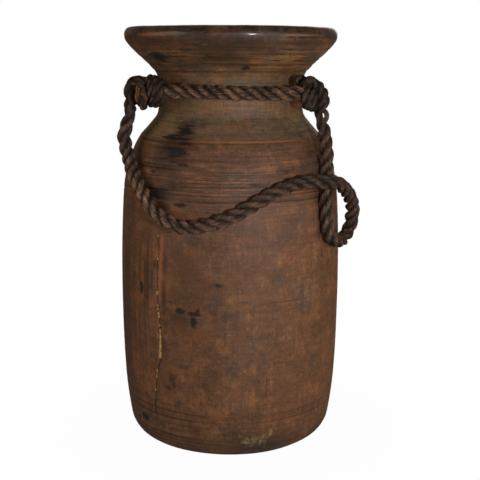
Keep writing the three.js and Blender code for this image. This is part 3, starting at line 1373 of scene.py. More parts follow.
@dataclass
class RightKnot(RopeWork):
    """The right knot: a bight over the leg, tight turns, a cut end that stands up, slack strands."""

    core: tuple[Point, ...] = ((67.6, -46.0, 332.1), (73.6, -49.0, 331.5), (79.6, -51.0, 329.8))
    leg: tuple[Point, ...] = (
        (82.2, -56.4, 305.0),
        (80.4, -56.3, 309.5),
        (78.7, -56.2, 314.5),
        (78.7, -56.0, 319.5),
        (79.0, -55.0, 325.0),
        (78.4, -53.0, 329.0),
        (76.8, -50.5, 333.0),
    )
    over: tuple[Point, ...] = (
        (65.3, -58.0, 338.5),
        (67.4, -62.0, 344.0),
        (71.0, -63.5, 345.2),
        (75.2, -64.5, 341.8),
        (78.7, -65.0, 336.0),
        (80.5, -65.0, 330.0),
        (80.5, -63.0, 323.8),
        (80.1, -60.0, 317.5),
    )
    edge: tuple[Point, ...] = (
        (71.9, -46.0, 341.8),
        (75.5, -50.0, 342.9),
        (79.7, -54.0, 339.0),
        (82.7, -57.0, 333.5),
        (83.4, -58.0, 327.5),
        (82.7, -57.5, 321.3),
    )
    turns: tuple[tuple[Point, ...], ...] = (
        (
            (65.0, -53.0, 329.8),
            (64.8, -51.5, 338.6),
            (65.4, -57.5, 341.2),
            (65.4, -66.0, 338.3),
            (65.6, -71.5, 332.9),
            (66.6, -68.5, 326.9),
            (67.7, -61.0, 324.0),
            (67.9, -55.0, 328.2),
        ),
        (
            (70.1, -44.0, 329.4),
            (69.8, -44.0, 339.1),
            (70.4, -52.0, 341.7),
            (70.4, -62.0, 337.8),
            (70.8, -68.0, 332.4),
            (71.5, -64.5, 325.6),
            (72.4, -55.0, 322.6),
            (72.9, -47.0, 327.8),
        ),
        (
            (75.3, -40.0, 329.2),
            (75.0, -42.0, 338.2),
            (75.2, -50.0, 339.9),
            (75.4, -59.5, 336.3),
            (75.6, -64.0, 330.8),
            (76.0, -61.0, 324.7),
            (76.6, -52.0, 321.9),
            (76.8, -44.0, 326.7),
        ),
    )
    stub: tuple[Point, ...] = (
        (65.0, -47.0, 329.5),
        (63.3, -52.0, 338.0),
        (62.0, -54.5, 345.0),
        (61.6, -55.5, 350.4),
    )
    knob: tuple[Point, ...] = (
        (69.4, -66.0, 327.9),
        (70.1, -67.0, 324.2),
        (70.5, -65.0, 320.6),
    )
    bump: tuple[Point, ...] = (
        (67.0, -65.0, 343.2),
        (68.8, -66.5, 346.4),
        (71.6, -66.0, 346.6),
        (73.5, -65.0, 344.0),
    )

    def tie(self) -> bpy.types.Object:
        """Makes the knot.

        Returns:
            The knot.
        """
        runs = [
            RopeRun(
                in_metres(self.core), 0.0076, lay=0.028, blunt_start=0.005, blunt_end=0.006, fuzz=50, seed=30
            ),
            RopeRun(
                in_metres(self.leg),
                0.0046,
                lay=0.030,
                phase=1.1,
                blunt_start=0.004,
                slim=(0.66, 1.0),
                fuzz=40,
                seed=29,
            ),
            RopeRun(
                in_metres(self.over),
                0.0045,
                lay=0.025,
                phase=0.4,
                blunt_end=0.003,
                tan=0.35,
                fuzz=120,
                seed=31,
            ),
            RopeRun(in_metres(self.edge), 0.0042, lay=0.025, phase=1.6, blunt_end=0.003, fuzz=110, seed=32),
            # The cut end's tan: paler cut fibres, and partly a painted highlight.
            RopeRun(in_metres(self.stub), 0.0055, lay=0.026, blunt_end=0.004, tan=0.75, fuzz=60, seed=33),
        ]
        runs += [
            RopeRun(
                in_metres(route), radius, strands=1, sides=18, blunt_start=0.002, blunt_end=0.003, seed=seed
            )
            for route, radius, seed in ((self.knob, 0.0032, 34), (self.bump, 0.0030, 35))
        ]
        runs += [
            RopeRun(in_metres(route), 0.0042, lay=0.024, phase=0.8 * i, spacing=0.0008, fuzz=110, seed=36 + i)
            for i, route in enumerate(self.turns)
        ]
        piece, _ = self.make("knot_right", runs, WornRope(wear=0.16, light=0.98).material("right_knot_worn"))
        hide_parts("right_knot")
        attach(piece, "neck_ring")
        return piece


# The jug

Mark = tuple[float, float, float, float, float]

# Each mark: degrees from the front, height, half width and half height in millimetres, strength
WOOD_MARKS: dict[Stain, list[Mark]] = {
    Stain.CHAR: [
        (-29, 300.5, 6.5, 1, 0.75), (-31, 303.5, 6, 0.8, 0.6), (-27.5, 306, 5, 0.7, 0.6),
        (-34, 287.2, 9, 1.1, 0.8), (-30, 281.5, 6.5, 1.3, 0.75), (-32, 276, 5, 0.8, 0.55),
        (-39, 247.5, 7, 1.6, 0.85), (-36.5, 251.8, 8, 1.2, 0.65), (-35, 295.4, 12, 0.8, 0.7),
        (-17.2, 137.2, 2.6, 5.6, 0.85),
    ],
    Stain.SOOT_AND_PAINTED_SHADE: [
        (-2, 377, 34, 9, 0.92), (-4, 366, 26, 7, 0.82), (2, 359, 24, 3, 0.5), (-40, 372, 16, 4, 0.22),
        # (-71, 110): painted shade down the body's left edge, partly also dirt.
        (-71, 110, 13, 60, 0.85), (33, 154.4, 24, 0.6, 0.9), (16, 20.5, 23, 10.5, 1),
    ],
    Stain.SCORCH: [
        (-46.4, 168, 1.3, 30, 0.75), (-46.9, 118, 1, 22, 0.6), (-50.6, 180, 1.6, 26, 0.6),
        (-51.5, 120, 2.2, 24, 0.5), (-43.4, 190, 0.9, 22, 0.6), (-56, 130, 1.8, 36, 0.5),
        (-24, 140, 14, 12, 0.5), (-8, 170, 12, 7, 0.4), (-26, 158, 12, 9, 0.45),
        (-33.6, 152, 3.6, 20, 0.72), (-33, 186, 3.2, 13, 0.6), (-44.4, 170, 1.7, 32, 0.8),
        (-41.2, 182, 1.5, 22, 0.62), (-34.5, 112, 4, 9, 0.6), (-47.5, 146, 3, 5, 0.6),
        (-33.5, 288, 17, 13, 0.85), (-32, 302, 12, 6, 0.65), (-36, 272, 15, 9, 0.6),
        (-30, 262, 9, 12, 0.5), (-45, 379, 30, 3.4, 0.6), (44, 378, 30, 2.6, 0.5),
        (-33.5, 246, 12, 9, 0.55),
    ],
    Stain.PALE: [
        (-52, 303, 26, 15, 0.74), (52, 305, 24, 12, 0.55), (34, 366, 22, 10, 0.58),
        # (79, 240): a painted highlight down the body's right edge.
        (-44, 366, 11, 7, 0.6), (79, 240, 3, 30, 0.6), (15, 24, 15, 7.5, 0.6),
        (9, 17.5, 12, 2.4, 0.4), (21, 30, 9, 3.6, 0.4),
    ],
    Stain.RUST_AND_PAINTED_HIGHLIGHT: [
        (6, 321.8, 24, 0.9, 0.78), (-15, 318.2, 11, 1.2, 0.6), (36, 324, 11, 0.8, 0.55),
        (12, 315.5, 9, 1, 0.5), (-22, 325.5, 8, 0.9, 0.5), (-48, 186, 10, 26, 0.46),
        (-53, 138, 9, 44, 0.44), (-29, 172, 13, 30, 0.42), (-23, 120, 16, 18, 0.36),
        (-43, 84, 8, 22, 0.44), (-33, 138, 9, 3, 0.62), (-48.2, 160, 1.6, 34, 0.7),
        (-47.6, 100, 1.3, 24, 0.55), (-53.4, 175, 1.4, 32, 0.55), (-44.9, 112, 1.5, 26, 0.55),
        # (79, 236): a painted highlight, an orange strip down the body's right edge.
        (-59.5, 150, 1.8, 40, 0.4), (-41.4, 62, 1.4, 22, 0.45), (79, 236, 5, 36, 0.95),
    ],
}

# Each mark as read off the photograph: pixels across and down, width and height, strength
PHOTO_MARKS: dict[Stain, list[Mark]] = {
    Stain.CHAR: [
        (158, 56.5, 16, 6, 0.75), (163, 60, 8, 4, 0.5), (245.6, 68, 6, 3, 0.7), (309, 37.2, 28, 1.4, 0.7),
        (186, 50, 16, 2, 0.4), (175, 135.5, 14, 1.6, 0.6), (178, 139, 17, 2, 0.95),
        (171, 136.5, 8, 1.4, 0.6), (184.8, 143.8, 9, 2, 1), (171, 151, 9, 3, 0.7),
        (180, 152.2, 10, 3.8, 1), (172, 155.5, 3, 4, 0.8), (174, 156, 2.5, 4, 0.8),
        (165, 158.5, 10, 1.2, 0.5), (182.5, 165.4, 7, 1.8, 0.95), (164, 167.5, 6, 2, 0.6),
        (158, 168, 4, 1.6, 0.7), (153.8, 172, 3, 3, 0.7), (157, 191, 12, 4, 0.8),
        (158, 196, 10, 3, 0.85), (163, 188, 9, 2, 0.5), (165, 192.5, 10, 1.4, 0.5),
        (161, 199, 10, 3, 0.5), (181, 205.5, 11, 2.6, 0.8), (143.2, 287.5, 3, 11, 1),
        (219, 286.2, 8.4, 3.3, 0.8), (180.9, 311.6, 9, 5, 1), (195.7, 314.8, 13, 4, 0.85),
        (199, 311.3, 4, 4, 0.7), (179.5, 262.5, 2, 4, 0.4), (227, 237, 3, 5, 0.4),
        (240.5, 251.6, 4, 1.5, 0.4), (147.7, 417, 7, 6, 0.9), (141, 416, 6, 4, 0.5),
        (323, 254.5, 3.4, 4.5, 0.6),
    ],
    Stain.SOOT_AND_PAINTED_SHADE: [
        (206, 58, 9, 12, 0.6), (240, 48, 14, 20, 0.5), (216, 40, 26, 14, 0.35), (254, 70, 9, 6, 0.6),
        (142.8, 245, 2.4, 60, 0.4), (215, 278, 18, 8, 0.35), (147, 296, 8, 5, 0.5),
        # (129.5, 320): painted shade down the body's left edge, partly also dirt.
        (129.5, 320, 9, 150, 0.7), (180, 404, 5, 7, 0.6), (204.9, 417.6, 10, 3, 0.8),
        (163.5, 423.5, 7, 3, 0.7), (225.9, 434.8, 7, 4, 0.6), (246, 370, 12, 9, 0.3),
        (274, 303, 36, 1.6, 0.55), (250, 336.5, 7, 2, 0.6), (303, 291, 5, 5, 0.6),
        (298, 221, 6, 10, 0.5), (284, 250, 14, 30, 0.25), (324, 300, 7, 26, 0.35),
        (262, 352, 30, 20, 0.2), (218, 345, 20, 30, 0.15), (190, 439, 60, 3, 0.5),
        (215, 445, 60, 2.4, 0.5), (286, 440, 22, 14, 0.5),
    ],
    Stain.SCORCH: [
        (184, 80, 8, 2, 0.5), (196, 82, 8, 2, 0.5), (180, 128, 12, 3, 0.7), (187, 128.5, 7, 3, 0.8),
        (182, 133, 20, 8, 0.5), (178, 146, 14, 4, 0.8), (170, 144, 10, 4, 0.6), (167, 150.5, 12, 5, 1),
        (165, 158.5, 16, 1.8, 0.9), (183, 161, 10, 3, 0.6), (168, 163, 14, 5, 0.5),
        (158, 178, 14, 14, 0.45), (174, 187, 6, 8, 0.8), (180, 183, 9, 4, 0.6),
        (172, 178, 14, 5, 0.45), (163, 206, 14, 10, 0.8), (255, 163, 30, 3, 0.3),
        (183, 270, 26, 60, 0.35), (175, 291, 10, 14, 0.55), (172.5, 302.5, 9, 3, 0.7),
        (165, 316, 3, 4, 0.6), (167, 324, 6, 8, 0.5), (156, 265, 6, 10, 0.6), (151, 288, 10, 6, 0.4),
        (184, 331, 10, 12, 0.4), (173.8, 379, 6, 8, 0.9), (175.5, 385.5, 4, 6, 0.9),
        (170.5, 388, 8, 6, 0.7), (176, 392, 5, 5, 0.5), (148.5, 393, 4, 6, 0.6),
        (268.3, 388, 1.6, 26, 0.7), (322, 311, 8, 4, 0.4), (306, 358, 8, 8, 0.35),
    ],
    Stain.MOSS: [
        (171, 112, 7, 3, 0.6), (166, 108, 6, 4, 0.4), (205, 125, 10, 8, 0.5), (183, 208, 6, 2, 0.6),
        (152, 205, 5, 14, 0.5), (232, 188, 24, 6, 0.25), (246, 150, 60, 8, 0.25),
        (262, 147, 22, 3, 0.45), (284, 149, 24, 3, 0.35), (268, 156, 20, 3, 0.3),
        (210, 186, 12, 6, 0.25), (288, 130, 26, 14, 0.3), (306, 125, 10, 22, 0.5),
        (300, 150, 22, 22, 0.25), (230, 133, 40, 10, 0.25), (218.5, 286.2, 12, 5, 1),
        (195.5, 321, 4, 4, 0.8), (175, 323.5, 6, 5, 0.5), (183.2, 247.7, 6, 3, 0.8),
        (197, 265.5, 16, 14, 0.45), (133, 392, 12, 46, 0.55), (128, 262, 6, 40, 0.3),
        (184.6, 367.3, 15, 5, 0.7), (245, 303, 10, 1.6, 1), (243, 233, 10, 22, 0.4),
    ],
    Stain.PALE: [
        (266, 41.5, 8, 3, 0.5), (205, 44.7, 7, 1.4, 0.6), (176, 76, 24, 6, 0.25), (172, 68, 10, 2, 0.3),
        (186, 118, 10, 3, 0.45), (176, 121, 5, 3, 0.3), (179.8, 264, 3, 6, 0.35),
        (250.5, 369, 3, 3, 0.5), (267.3, 400, 4, 2, 0.6), (324.5, 253.5, 2, 3, 0.5),
        (272, 322, 7, 9, 0.35), (238, 350, 6, 3, 0.3), (247, 442, 9, 6, 0.75),
        (241.5, 436, 4, 6, 0.6), (262, 441, 9, 5, 0.7), (272.5, 433, 4, 9, 0.85),
        (253, 435, 8, 3, 0.5), (267, 446, 8, 3, 0.5), (245, 447, 5, 2, 0.6),
    ],
    Stain.RUST_AND_PAINTED_HIGHLIGHT: [
        (150, 35.2, 34, 3.6, 0.8), (306, 35.4, 52, 2.6, 0.6), (240.5, 254, 5, 4, 0.7),
        (205, 352, 10, 4, 0.3), (150, 350, 14, 60, 0.25), (225, 292, 16, 30, 0.2),
    ],
}


@dataclass
class TurnedJug:
    """The jug's wood: its turned outline, its grooves, dents and crack, and its stains."""

    outline: tuple[tuple[float, float], ...] = (
        (68.0, 0.0),
        (71.5, 0.5),
        (75.5, 1.7),
        (83.0, 3.8),
        (90.0, 7.6),
        (94.4, 12.3),
        (97.2, 18.0),
        (98.6, 25.0),
        (100.5, 38.0),
        (102.6, 57.0),
        (104.3, 85.0),
        (105.1, 114.0),
        (105.4, 142.0),
        (105.2, 171.0),
        (104.5, 200.0),
        (103.2, 228.0),
        (102.4, 239.0),
        (101.3, 251.0),
        (99.6, 258.0),
        (97.7, 266.0),
        (95.3, 273.6),
        (92.6, 280.2),
        (89.5, 287.0),
        (85.4, 293.6),
        (79.4, 300.2),
        (73.5, 307.0),
        (69.6, 312.2),
        (68.3, 317.5),
        (68.3, 330.0),
        (68.4, 343.0),
        (69.6, 349.8),
        (74.9, 356.2),
        (81.8, 363.0),
        (88.8, 369.5),
        (95.0, 376.0),
        (98.3, 381.2),
        (98.9, 384.4),
        (98.2, 388.0),
        (95.6, 391.0),
        (91.6, 392.0),
    )
    inner: tuple[tuple[float, float], ...] = (
        (87.0, 391.3),
        (83.2, 388.6),
        (80.6, 384.4),
        (76.0, 378.0),
        (64.5, 363.0),
        (56.6, 353.0),
        (55.5, 347.0),
        (55.5, 312.0),
        (56.5, 304.0),
        (64.0, 293.0),
        (76.0, 278.0),
        (84.5, 258.0),
        (88.5, 237.0),
        (91.5, 190.0),
        (92.3, 130.0),
        (90.0, 80.0),
        (84.5, 40.0),
        (80.0, 29.0),
        (67.0, 24.2),
        (40.0, 24.0),
        (14.0, 24.0),
    )
    grooves: tuple[tuple[float, float, float], ...] = (
        (15.8, 0.9, 0.34),
        (19.5, 0.8, 0.46),
        (23.2, 0.8, 0.44),
        (29.8, 0.8, 0.16),
        (35.2, 0.9, 0.24),
        (41.4, 0.9, 0.58),
        (44.8, 0.6, 0.28),
        (47.9, 0.9, 0.50),
        (54.2, 0.6, 0.20),
        (243.6, 0.9, 0.70),
        (246.0, 0.6, 0.4),
        (248.7, 0.9, 0.78),
        (252.1, 0.9, 0.78),
        (254.6, 0.6, 0.45),
        (258.9, 0.6, 0.35),
        (270.3, 0.7, 0.4),
        (272.8, 0.7, 0.4),
        (277.6, 0.6, 0.25),
        (287.6, 0.7, 0.25),
        (292.2, 1.1, 0.34),
        (318.0, 1.0, 0.4),
        (352.6, 0.8, 0.35),
        (358.4, 0.6, 0.3),
        (361.2, 0.6, 0.3),
        (364.5, 0.5, 0.25),
        (371.5, 0.6, 0.25),
        (383.2, 1.0, 0.6),
    )
    # The crack as read off the photograph, from its upper end: pixels across and down
    crack_in_photo: tuple[tuple[float, float], ...] = (
        (158.5, 232),
        (158.8, 250),
        (158.2, 262),
        (157.6, 275),
        (157.6, 290),
        (158.2, 300),
        (159.2, 308),
        (160, 316),
        (161, 326),
        (161.4, 340),
        (161.6, 352),
        (161, 362),
        (159, 370),
        (158, 380),
        (157.2, 390),
        (156.8, 402),
        (157.3, 415),
        (157.8, 424),
    )
    slot_heights: tuple[float, float] = (96.6, 126.4)
    studio: Studio = field(default_factory=Studio)

    def surface_radius(self, height: np.ndarray) -> np.ndarray:
        """Gives the jug's outer radius at a height, in metres."""
        line = np.array(self.outline)
        return np.interp(height / MM, line[:, 1], line[:, 0]) * MM

    def spot_in_photo(self, across: float, down: float) -> tuple[float, float]:
        """Finds where on the wood a place in the photograph lies.

        Args:
            across: Pixels from the photograph's left edge.
            down: Pixels from its top edge.

        Returns:
            Degrees from the front, and height in millimetres.
        """
        eye, line = np.array(self.studio.eye), self.studio.sight_line(across, down)
        nearest, step = -0.125, 0.0001
        depths = np.arange(nearest, 0, step)
        spots = eye + line * ((depths - eye[1]) / line[1])[:, None]
        within = np.hypot(spots[:, 0], spots[:, 1]) <= self.surface_radius(spots[:, 2])
        x, y, z = spots[int(np.argmax(within))]
        return math.degrees(math.atan2(x, -y)), z / MM

    def crack_course(self) -> np.ndarray:
        """Lists the crack's angles in degrees and heights in millimetres, from the foot up."""
        return np.array([self.spot_in_photo(*spot) for spot in self.crack_in_photo])[::-1]

    def seen_marks(self) -> dict[Stain, list[Mark]]:
        """Gathers the marks on the front, those on the wood and those read off the photograph.

        Returns:
            The marks of each kind.
        """
        found = {stain: list(WOOD_MARKS.get(stain, [])) for stain in Stain}
        for stain, marks in PHOTO_MARKS.items():
            for across, down, wide, tall, strength in marks:
                turn, place = self.spot_in_photo(across, down)
                facing = max(0.35, math.cos(math.radians(turn)))
                half_wide = wide * PIXEL_AT_JUG / 2 / facing
                half_tall = tall * PIXEL_AT_JUG / 2 / math.cos(math.radians(self.studio.pitch))
                found[stain].append((turn, place, half_wide, half_tall, strength))
        return found

    def columns(self) -> np.ndarray:
        """Lists the angles of the mesh's columns, closer together near the crack.

        Returns:
            Angles in degrees from the front, growing to the right.
        """
        parts = [
            np.arange(-180, -102, 2.4),
            np.arange(-102, -45, 0.85),
            np.arange(-45, -34.6, 0.20),
            np.arange(-34.6, 102, 0.85),
            np.arange(102, 179, 2.4),
        ]
        return np.concatenate(parts)

    def crack_offset(self, angle: np.ndarray, height: np.ndarray, reach: np.ndarray) -> np.ndarray:
        """Measures how far each point lies to the side of the crack.

        Args:
            angle: Degrees from the front.
            height: Height in metres.
            reach: Distance from the jug's axis in metres.

        Returns:
            The distance along the surface in metres, growing to the right.
        """
        course = self.crack_course()
        middle = np.interp(height / MM, course[:, 1], course[:, 0])
        wander = 0.16 * np.sin(height * 700) + 0.10 * np.sin(height * 1900 + 1)
        return np.radians(angle - middle - wander) * reach

    def rows(self) -> tuple[np.ndarray, np.ndarray]:
        """Works out the turned outline in even steps, from the foot over the lip to the floor.

        Returns:
            The points as radius and height in metres, and 1 for those on the inside.
        """
        outer = smooth_route([(r * MM, 0, z * MM) for r, z in self.outline], 0.0009)
        inner = smooth_route([(r * MM, 0, z * MM) for r, z in (self.outline[-1], *self.inner)], 0.0042)
        line = np.concatenate([outer, inner[1:]])
        within = np.concatenate([np.zeros(len(outer)), np.ones(len(inner) - 1)])
        under = np.linspace(0.004, 0.0665, 14)[:, None] * [1, 0]
        line = np.concatenate([under, line[:, [0, 2]]])
        return line, np.concatenate([np.zeros(len(under)), within])

    def shape(self) -> Skin:
        """Turns the outline, then wears it.

        Returns:
            The skin.
        """
        line, within = self.rows()
        slope = np.gradient(line, axis=0)
        slope /= np.linalg.norm(slope, axis=1)[:, None]
        outward = np.stack([slope[:, 1], -slope[:, 0]], 1)
        angles = self.columns()
        many, sides = len(line), len(angles)
        angle = np.tile(angles, (many, 1))
        reach = np.repeat(line[:, :1], sides, 1)
        height = np.repeat(line[:, 1:], sides, 1)
        inside = np.repeat(within[:, None], sides, 1)
        outside = 1 - inside
        flank = outside * (height > 0.0015)
        turn = np.radians(angle)
        flat = np.stack([reach * np.sin(turn), -reach * np.cos(turn), height], -1).reshape(-1, 3)
        uneven = Unevenness(7)

        def wobble(scale: Sequence[float]) -> np.ndarray:
            """Gives unevenness laid out as the corners are."""
            return uneven.at(flat, scale).reshape(many, sides)

        cut = np.zeros((many, sides))
        push = np.zeros((many, sides))
        for place, wide, deep in self.grooves:
            near = np.exp(-(((height / MM - place) / wide) ** 2))
            even, patchy = (0.74, 1.0) if place < 60 else (0.55, 1.3)
            worn = np.clip(even + patchy * wobble((13, 13, 13 + place * 0.07)), 0.08, 1.25)
            push -= flank * near * deep * MM * worn
            cut = np.maximum(cut, flank * near * worn * min(1.0, 1.25 * deep))
        ridge = wobble((4, 4, 620)) * 0.6 + wobble((7, 7, 1100)) * 0.4
        strength = 0.00010 + 0.00012 * np.exp(-(((height - 0.366) / 0.016) ** 2))
        strength += 0.00013 * np.exp(-(((height - 0.262) / 0.022) ** 2))
        push += flank * ridge * strength
        push += flank * (0.00045 * wobble((9, 9, 7)) + 0.00022 * wobble((30, 30, 24)))
        push += outside * 0.00030 * wobble((75, 75, 75)) * np.exp(-(((height - 0.388) / 0.006) ** 2))

        side = self.crack_offset(angle, height, reach)
        in_run = smoothstep(0.026, 0.034, height) * smoothstep(0.218, 0.205, height)
        upward = np.stack([height.ravel(), height.ravel() * 0, height.ravel() * 0], 1)
        opening = uneven.at(upward, (60, 1, 1)).reshape(many, sides)
        open_share = np.clip(0.55 + 0.65 * opening, 0.12, 1)
        gap_half = 0.00058 + 0.00030 * smoothstep(0.17, 0.15, height) * smoothstep(0.12, 0.13, height)
        gap = np.exp(-((side / gap_half) ** 2)) * in_run * open_share * flank
        low, high = self.slot_heights
        slot = smoothstep(0.00185, 0.00150, np.abs(side + 0.00010)) * flank
        slot *= smoothstep(low * MM - 0.0004, low * MM, height)
        slot *= smoothstep(high * MM + 0.0004, high * MM, height)
        push -= gap * 0.0017 + slot * 0.0022
        push -= flank * 0.00045 * np.exp(-((side / 0.0022) ** 2)) * in_run
        cut = np.maximum(cut, np.maximum(0.95 * gap, 0.95 * slot))

        corners = np.stack([reach + push * outward[:, :1], height + push * outward[:, 1:]], -1)
        body = np.stack(
            [corners[..., 0] * np.sin(turn), -corners[..., 0] * np.cos(turn), corners[..., 1]], -1
        )
        skin = Skin()
        lathe = 0.30 + 0.70 * np.exp(-(((height - 0.364) / 0.013) ** 2))
        lathe = np.maximum(lathe, 0.30 + 0.65 * np.exp(-(((height - 0.257) / 0.020) ** 2)))
        lathe *= 0.45 + 0.55 * smoothstep(0.225, 0.245, height)
        paints = self.stains(angle, height, reach, outside)
        skin.add_tube(
            body[:, ::-1],
            lathe=lathe[:, ::-1],
            inside=inside[:, ::-1],
            cut=cut[:, ::-1],
            **{name: amount[:, ::-1] for name, amount in paints.items()},
        )
        return skin

    def stains(
        self, angle: np.ndarray, height: np.ndarray, reach: np.ndarray, outside: np.ndarray
    ) -> dict[str, np.ndarray]:
        """Paints the marks of use on the corners, with painted shade down the body's left edge and a painted
        highlight down its right edge.

        Args:
            angle: Each corner's angle in degrees.
            height: Its height in metres.
            reach: Its distance from the axis in metres.
            outside: 1 on the outside and 0 in the hollow.

        Returns:
            The amount of each stain at each corner.
        """
        amounts = {stain.value: np.zeros(angle.shape) for stain in Stain}
        unseen = self.unseen_marks()
        for stain, marks in self.seen_marks().items():
            layer = amounts[stain.value]
            for turn, place, wide, tall, strength in marks + unseen[stain]:
                grown = 1.3 if stain is Stain.CHAR and place > SHOULDER else 1.0
                across = np.radians((angle - turn + 180) % 360 - 180) * reach / MM / (wide * grown)
                up = (height / MM - place) / (tall * grown)
                near = strength * np.exp(-((across**2 + up**2) ** 1.25) * 0.7)
                np.maximum(layer, near * outside, out=layer)
        for place, wide, strength in ((293.6, 1.0, 0.85), (319.4, 0.9, 0.5), (384.6, 1.2, 0.35)):
            ring = strength * np.exp(-(((height / MM - place) / wide) ** 2))
            front = 0.22 + 0.78 * np.exp(-(((angle - 8) / 42) ** 4))
            np.maximum(amounts["rust"], ring * front * outside, out=amounts["rust"])
        ridge = self.crack_offset(angle, height, reach) - 0.0046
        glow = np.exp(-((ridge / 0.0029) ** 2)) * smoothstep(0.13, 0.15, height)
        glow = glow * smoothstep(0.222, 0.205, height) * 0.85 * outside
        np.maximum(amounts["rust"], glow, out=amounts["rust"])
        return amounts

    def unseen_marks(self) -> dict[Stain, list[Mark]]:
        """Scatters marks of the same kinds over the sides and the back.

        Returns:
            The marks of each kind.
        """
        chance = np.random.default_rng(77)
        found: dict[Stain, list[Mark]] = {stain: [] for stain in Stain}
        plan = (
            (Stain.CHAR, 16, (1.5, 6.0), (0.9, 2.2), 0.8),
            (Stain.SOOT_AND_PAINTED_SHADE, 16, (4.0, 18.0), (3.0, 26.0), 0.55),
            (Stain.SCORCH, 22, (1.2, 12.0), (2.0, 24.0), 0.6),
            (Stain.MOSS, 18, (4.0, 16.0), (2.0, 12.0), 0.5),
            (Stain.PALE, 14, (1.5, 9.0), (1.0, 6.0), 0.6),
            (Stain.RUST_AND_PAINTED_HIGHLIGHT, 14, (1.2, 10.0), (2.0, 24.0), 0.5),
        )
        for stain, many, wides, talls, strength in plan:
            for _ in range(many):
                turn = float(chance.uniform(84, 272))
                place = float(chance.uniform(14, 376))
                wide = float(chance.uniform(*wides))
                tall = float(chance.uniform(*talls))
                if place > SHOULDER:
                    wide, tall = wide * 1.4, min(tall, 6.0)
                found[stain].append((turn, place, wide, tall, strength * float(chance.uniform(0.7, 1.2))))
        return found

    def turn(self) -> bpy.types.Object:
        """Makes the jug.

        Returns:
            The jug.
        """
        skin = self.shape()
        piece = skin.build("turned_jug")
        piece.data.materials.append(OldWood().material())
        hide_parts("jug_body")
        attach(piece, "jug")
        LOG.info("turned_jug: %d corners", skin.count)
        return piece


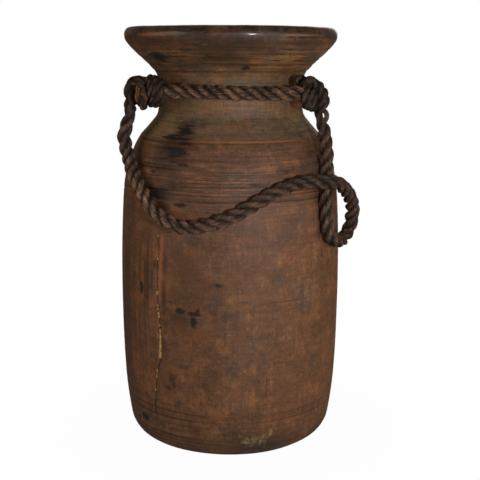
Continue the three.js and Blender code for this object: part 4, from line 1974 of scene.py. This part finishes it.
@dataclass
class CrackFilling:
    """The putty in the crack: one long filling, and crumbs of it above and below."""

    jug: TurnedJug
    rows: int = 74
    sides: int = 22
    low: float = 0.0972
    high: float = 0.1258
    depth: float = 0.0031
    crumbs: tuple[tuple[float, float, float, float], ...] = (
        (-38.0, 158.6, 1.3, 1.9),
        (-37.6, 147.2, 0.9, 1.4),
        (-37.3, 144.2, 1.0, 1.3),
        (-36.9, 140.0, 0.9, 1.9),
        (-36.7, 137.2, 1.0, 1.6),
        (-36.3, 129.2, 0.7, 0.9),
        (-38.9, 84.6, 0.5, 2.2),
        (-39.4, 79.4, 0.5, 2.4),
        (-40.9, 65.6, 0.8, 1.0),
        (-37.3, 211.0, 0.5, 1.1),
        (-37.5, 190.0, 0.4, 1.2),
    )

    def fill(self) -> bpy.types.Object:
        """Makes the long filling.

        Returns:
            The filling.
        """
        uneven = Unevenness(19)
        heights = np.linspace(self.low, self.high, self.rows)
        course = self.jug.crack_course()
        middle = np.radians(np.interp(heights / MM, course[:, 1], course[:, 0]))
        radius = self.jug.surface_radius(heights)
        turn = np.linspace(0, 2 * np.pi, self.sides, endpoint=False)
        grow = smoothstep(self.high, self.high - 0.010, heights)
        half = (0.00110 + 0.00055 * grow) * (
            1 + 0.30 * uneven.at(np.c_[heights, heights * 0, heights * 0], (420, 1, 1))
        )
        ends = np.minimum(heights - self.low, self.high - heights)
        half = half * (0.45 + 0.55 * smoothstep(0, 0.0009, ends))
        across = half[:, None] * np.sign(np.cos(turn)) * np.abs(np.cos(turn)) ** 0.7
        upward = np.repeat(heights, self.sides)
        round_it = np.tile(turn, self.rows) * 0.0006
        lumps = uneven.at(np.stack([upward, round_it, np.zeros(upward.size)], 1), (520, 900, 1))
        lumps = lumps.reshape(self.rows, self.sides)
        crown = 0.00022 + 0.00032 * lumps
        sink = np.where(np.sin(turn) > 0, crown, -self.depth)
        sink = sink * np.abs(np.sin(turn)) ** 0.5 - (1 - np.abs(np.sin(turn))) * 0.0006
        reach = radius[:, None] - 0.0002 + sink
        angle = middle[:, None] + across / radius[:, None]
        level = np.repeat(heights[:, None], self.sides, 1)
        rings = np.stack([reach * np.sin(angle), -reach * np.cos(angle), level], -1)
        skin = Skin()
        skin.add_tube(rings[:, ::-1])
        piece = skin.build("crack_putty")
        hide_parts("crack_filler")
        return self.dress(piece)

    def scatter(self) -> bpy.types.Object:
        """Makes the crumbs of putty.

        Returns:
            The crumbs, as one object.
        """
        skin = Skin()
        uneven = Unevenness(23)
        turn = np.linspace(0, 2 * np.pi, 14, endpoint=False)
        for angle, height, half, tall in self.crumbs:
            radius = float(self.jug.surface_radius(np.array(height * MM))) - 0.0004
            out = np.array([math.sin(math.radians(angle)), -math.cos(math.radians(angle)), 0])
            side = np.array([math.cos(math.radians(angle)), math.sin(math.radians(angle)), 0])
            centre = out * radius + np.array([0, 0, height * MM])
            lift = np.linspace(-0.97, 0.97, 11)
            ring = np.sqrt(1 - lift**2)
            ball = (
                side * (half * MM * ring[:, None, None] * np.cos(turn)[None, :, None])
                + out * (0.0009 * ring[:, None, None] * np.sin(turn)[None, :, None])
                + np.array([0, 0, 1]) * (tall * MM * lift[:, None, None])
            )
            rough = 1 + 0.3 * uneven.at((ball + centre).reshape(-1, 3), (700, 700, 700)).reshape(11, 14, 1)
            skin.add_tube((centre + ball * rough)[:, ::-1])
        return self.dress(skin.build("crack_putty_crumbs"))

    def dress(self, piece: bpy.types.Object) -> bpy.types.Object:
        """Gives a piece its material and its place on the jug.

        Args:
            piece: The piece.

        Returns:
            The piece.
        """
        piece.data.materials.append(DryPutty().material())
        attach(piece, "jug")
        LOG.info("%s: %d corners", piece.name, len(piece.data.vertices))
        return piece


def write_sizes() -> None:
    """Updates the view layer."""
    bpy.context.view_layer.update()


def main() -> None:
    """Makes every piece in order."""
    logging.basicConfig(level=logging.INFO, format="%(message)s")
    studio = Studio()
    studio.make_camera()
    HandleRope().hang()
    NeckRope().tie()
    LeftKnot().tie()
    RightKnot().tie()
    jug = TurnedJug(studio=studio)
    jug.turn()
    filling = CrackFilling(jug)
    filling.fill()
    filling.scatter()
    studio.light()
    studio.lay_floor()
    bpy.context.scene.view_settings.view_transform = "Standard"
    write_sizes()


if __name__ == "__main__":
    main()
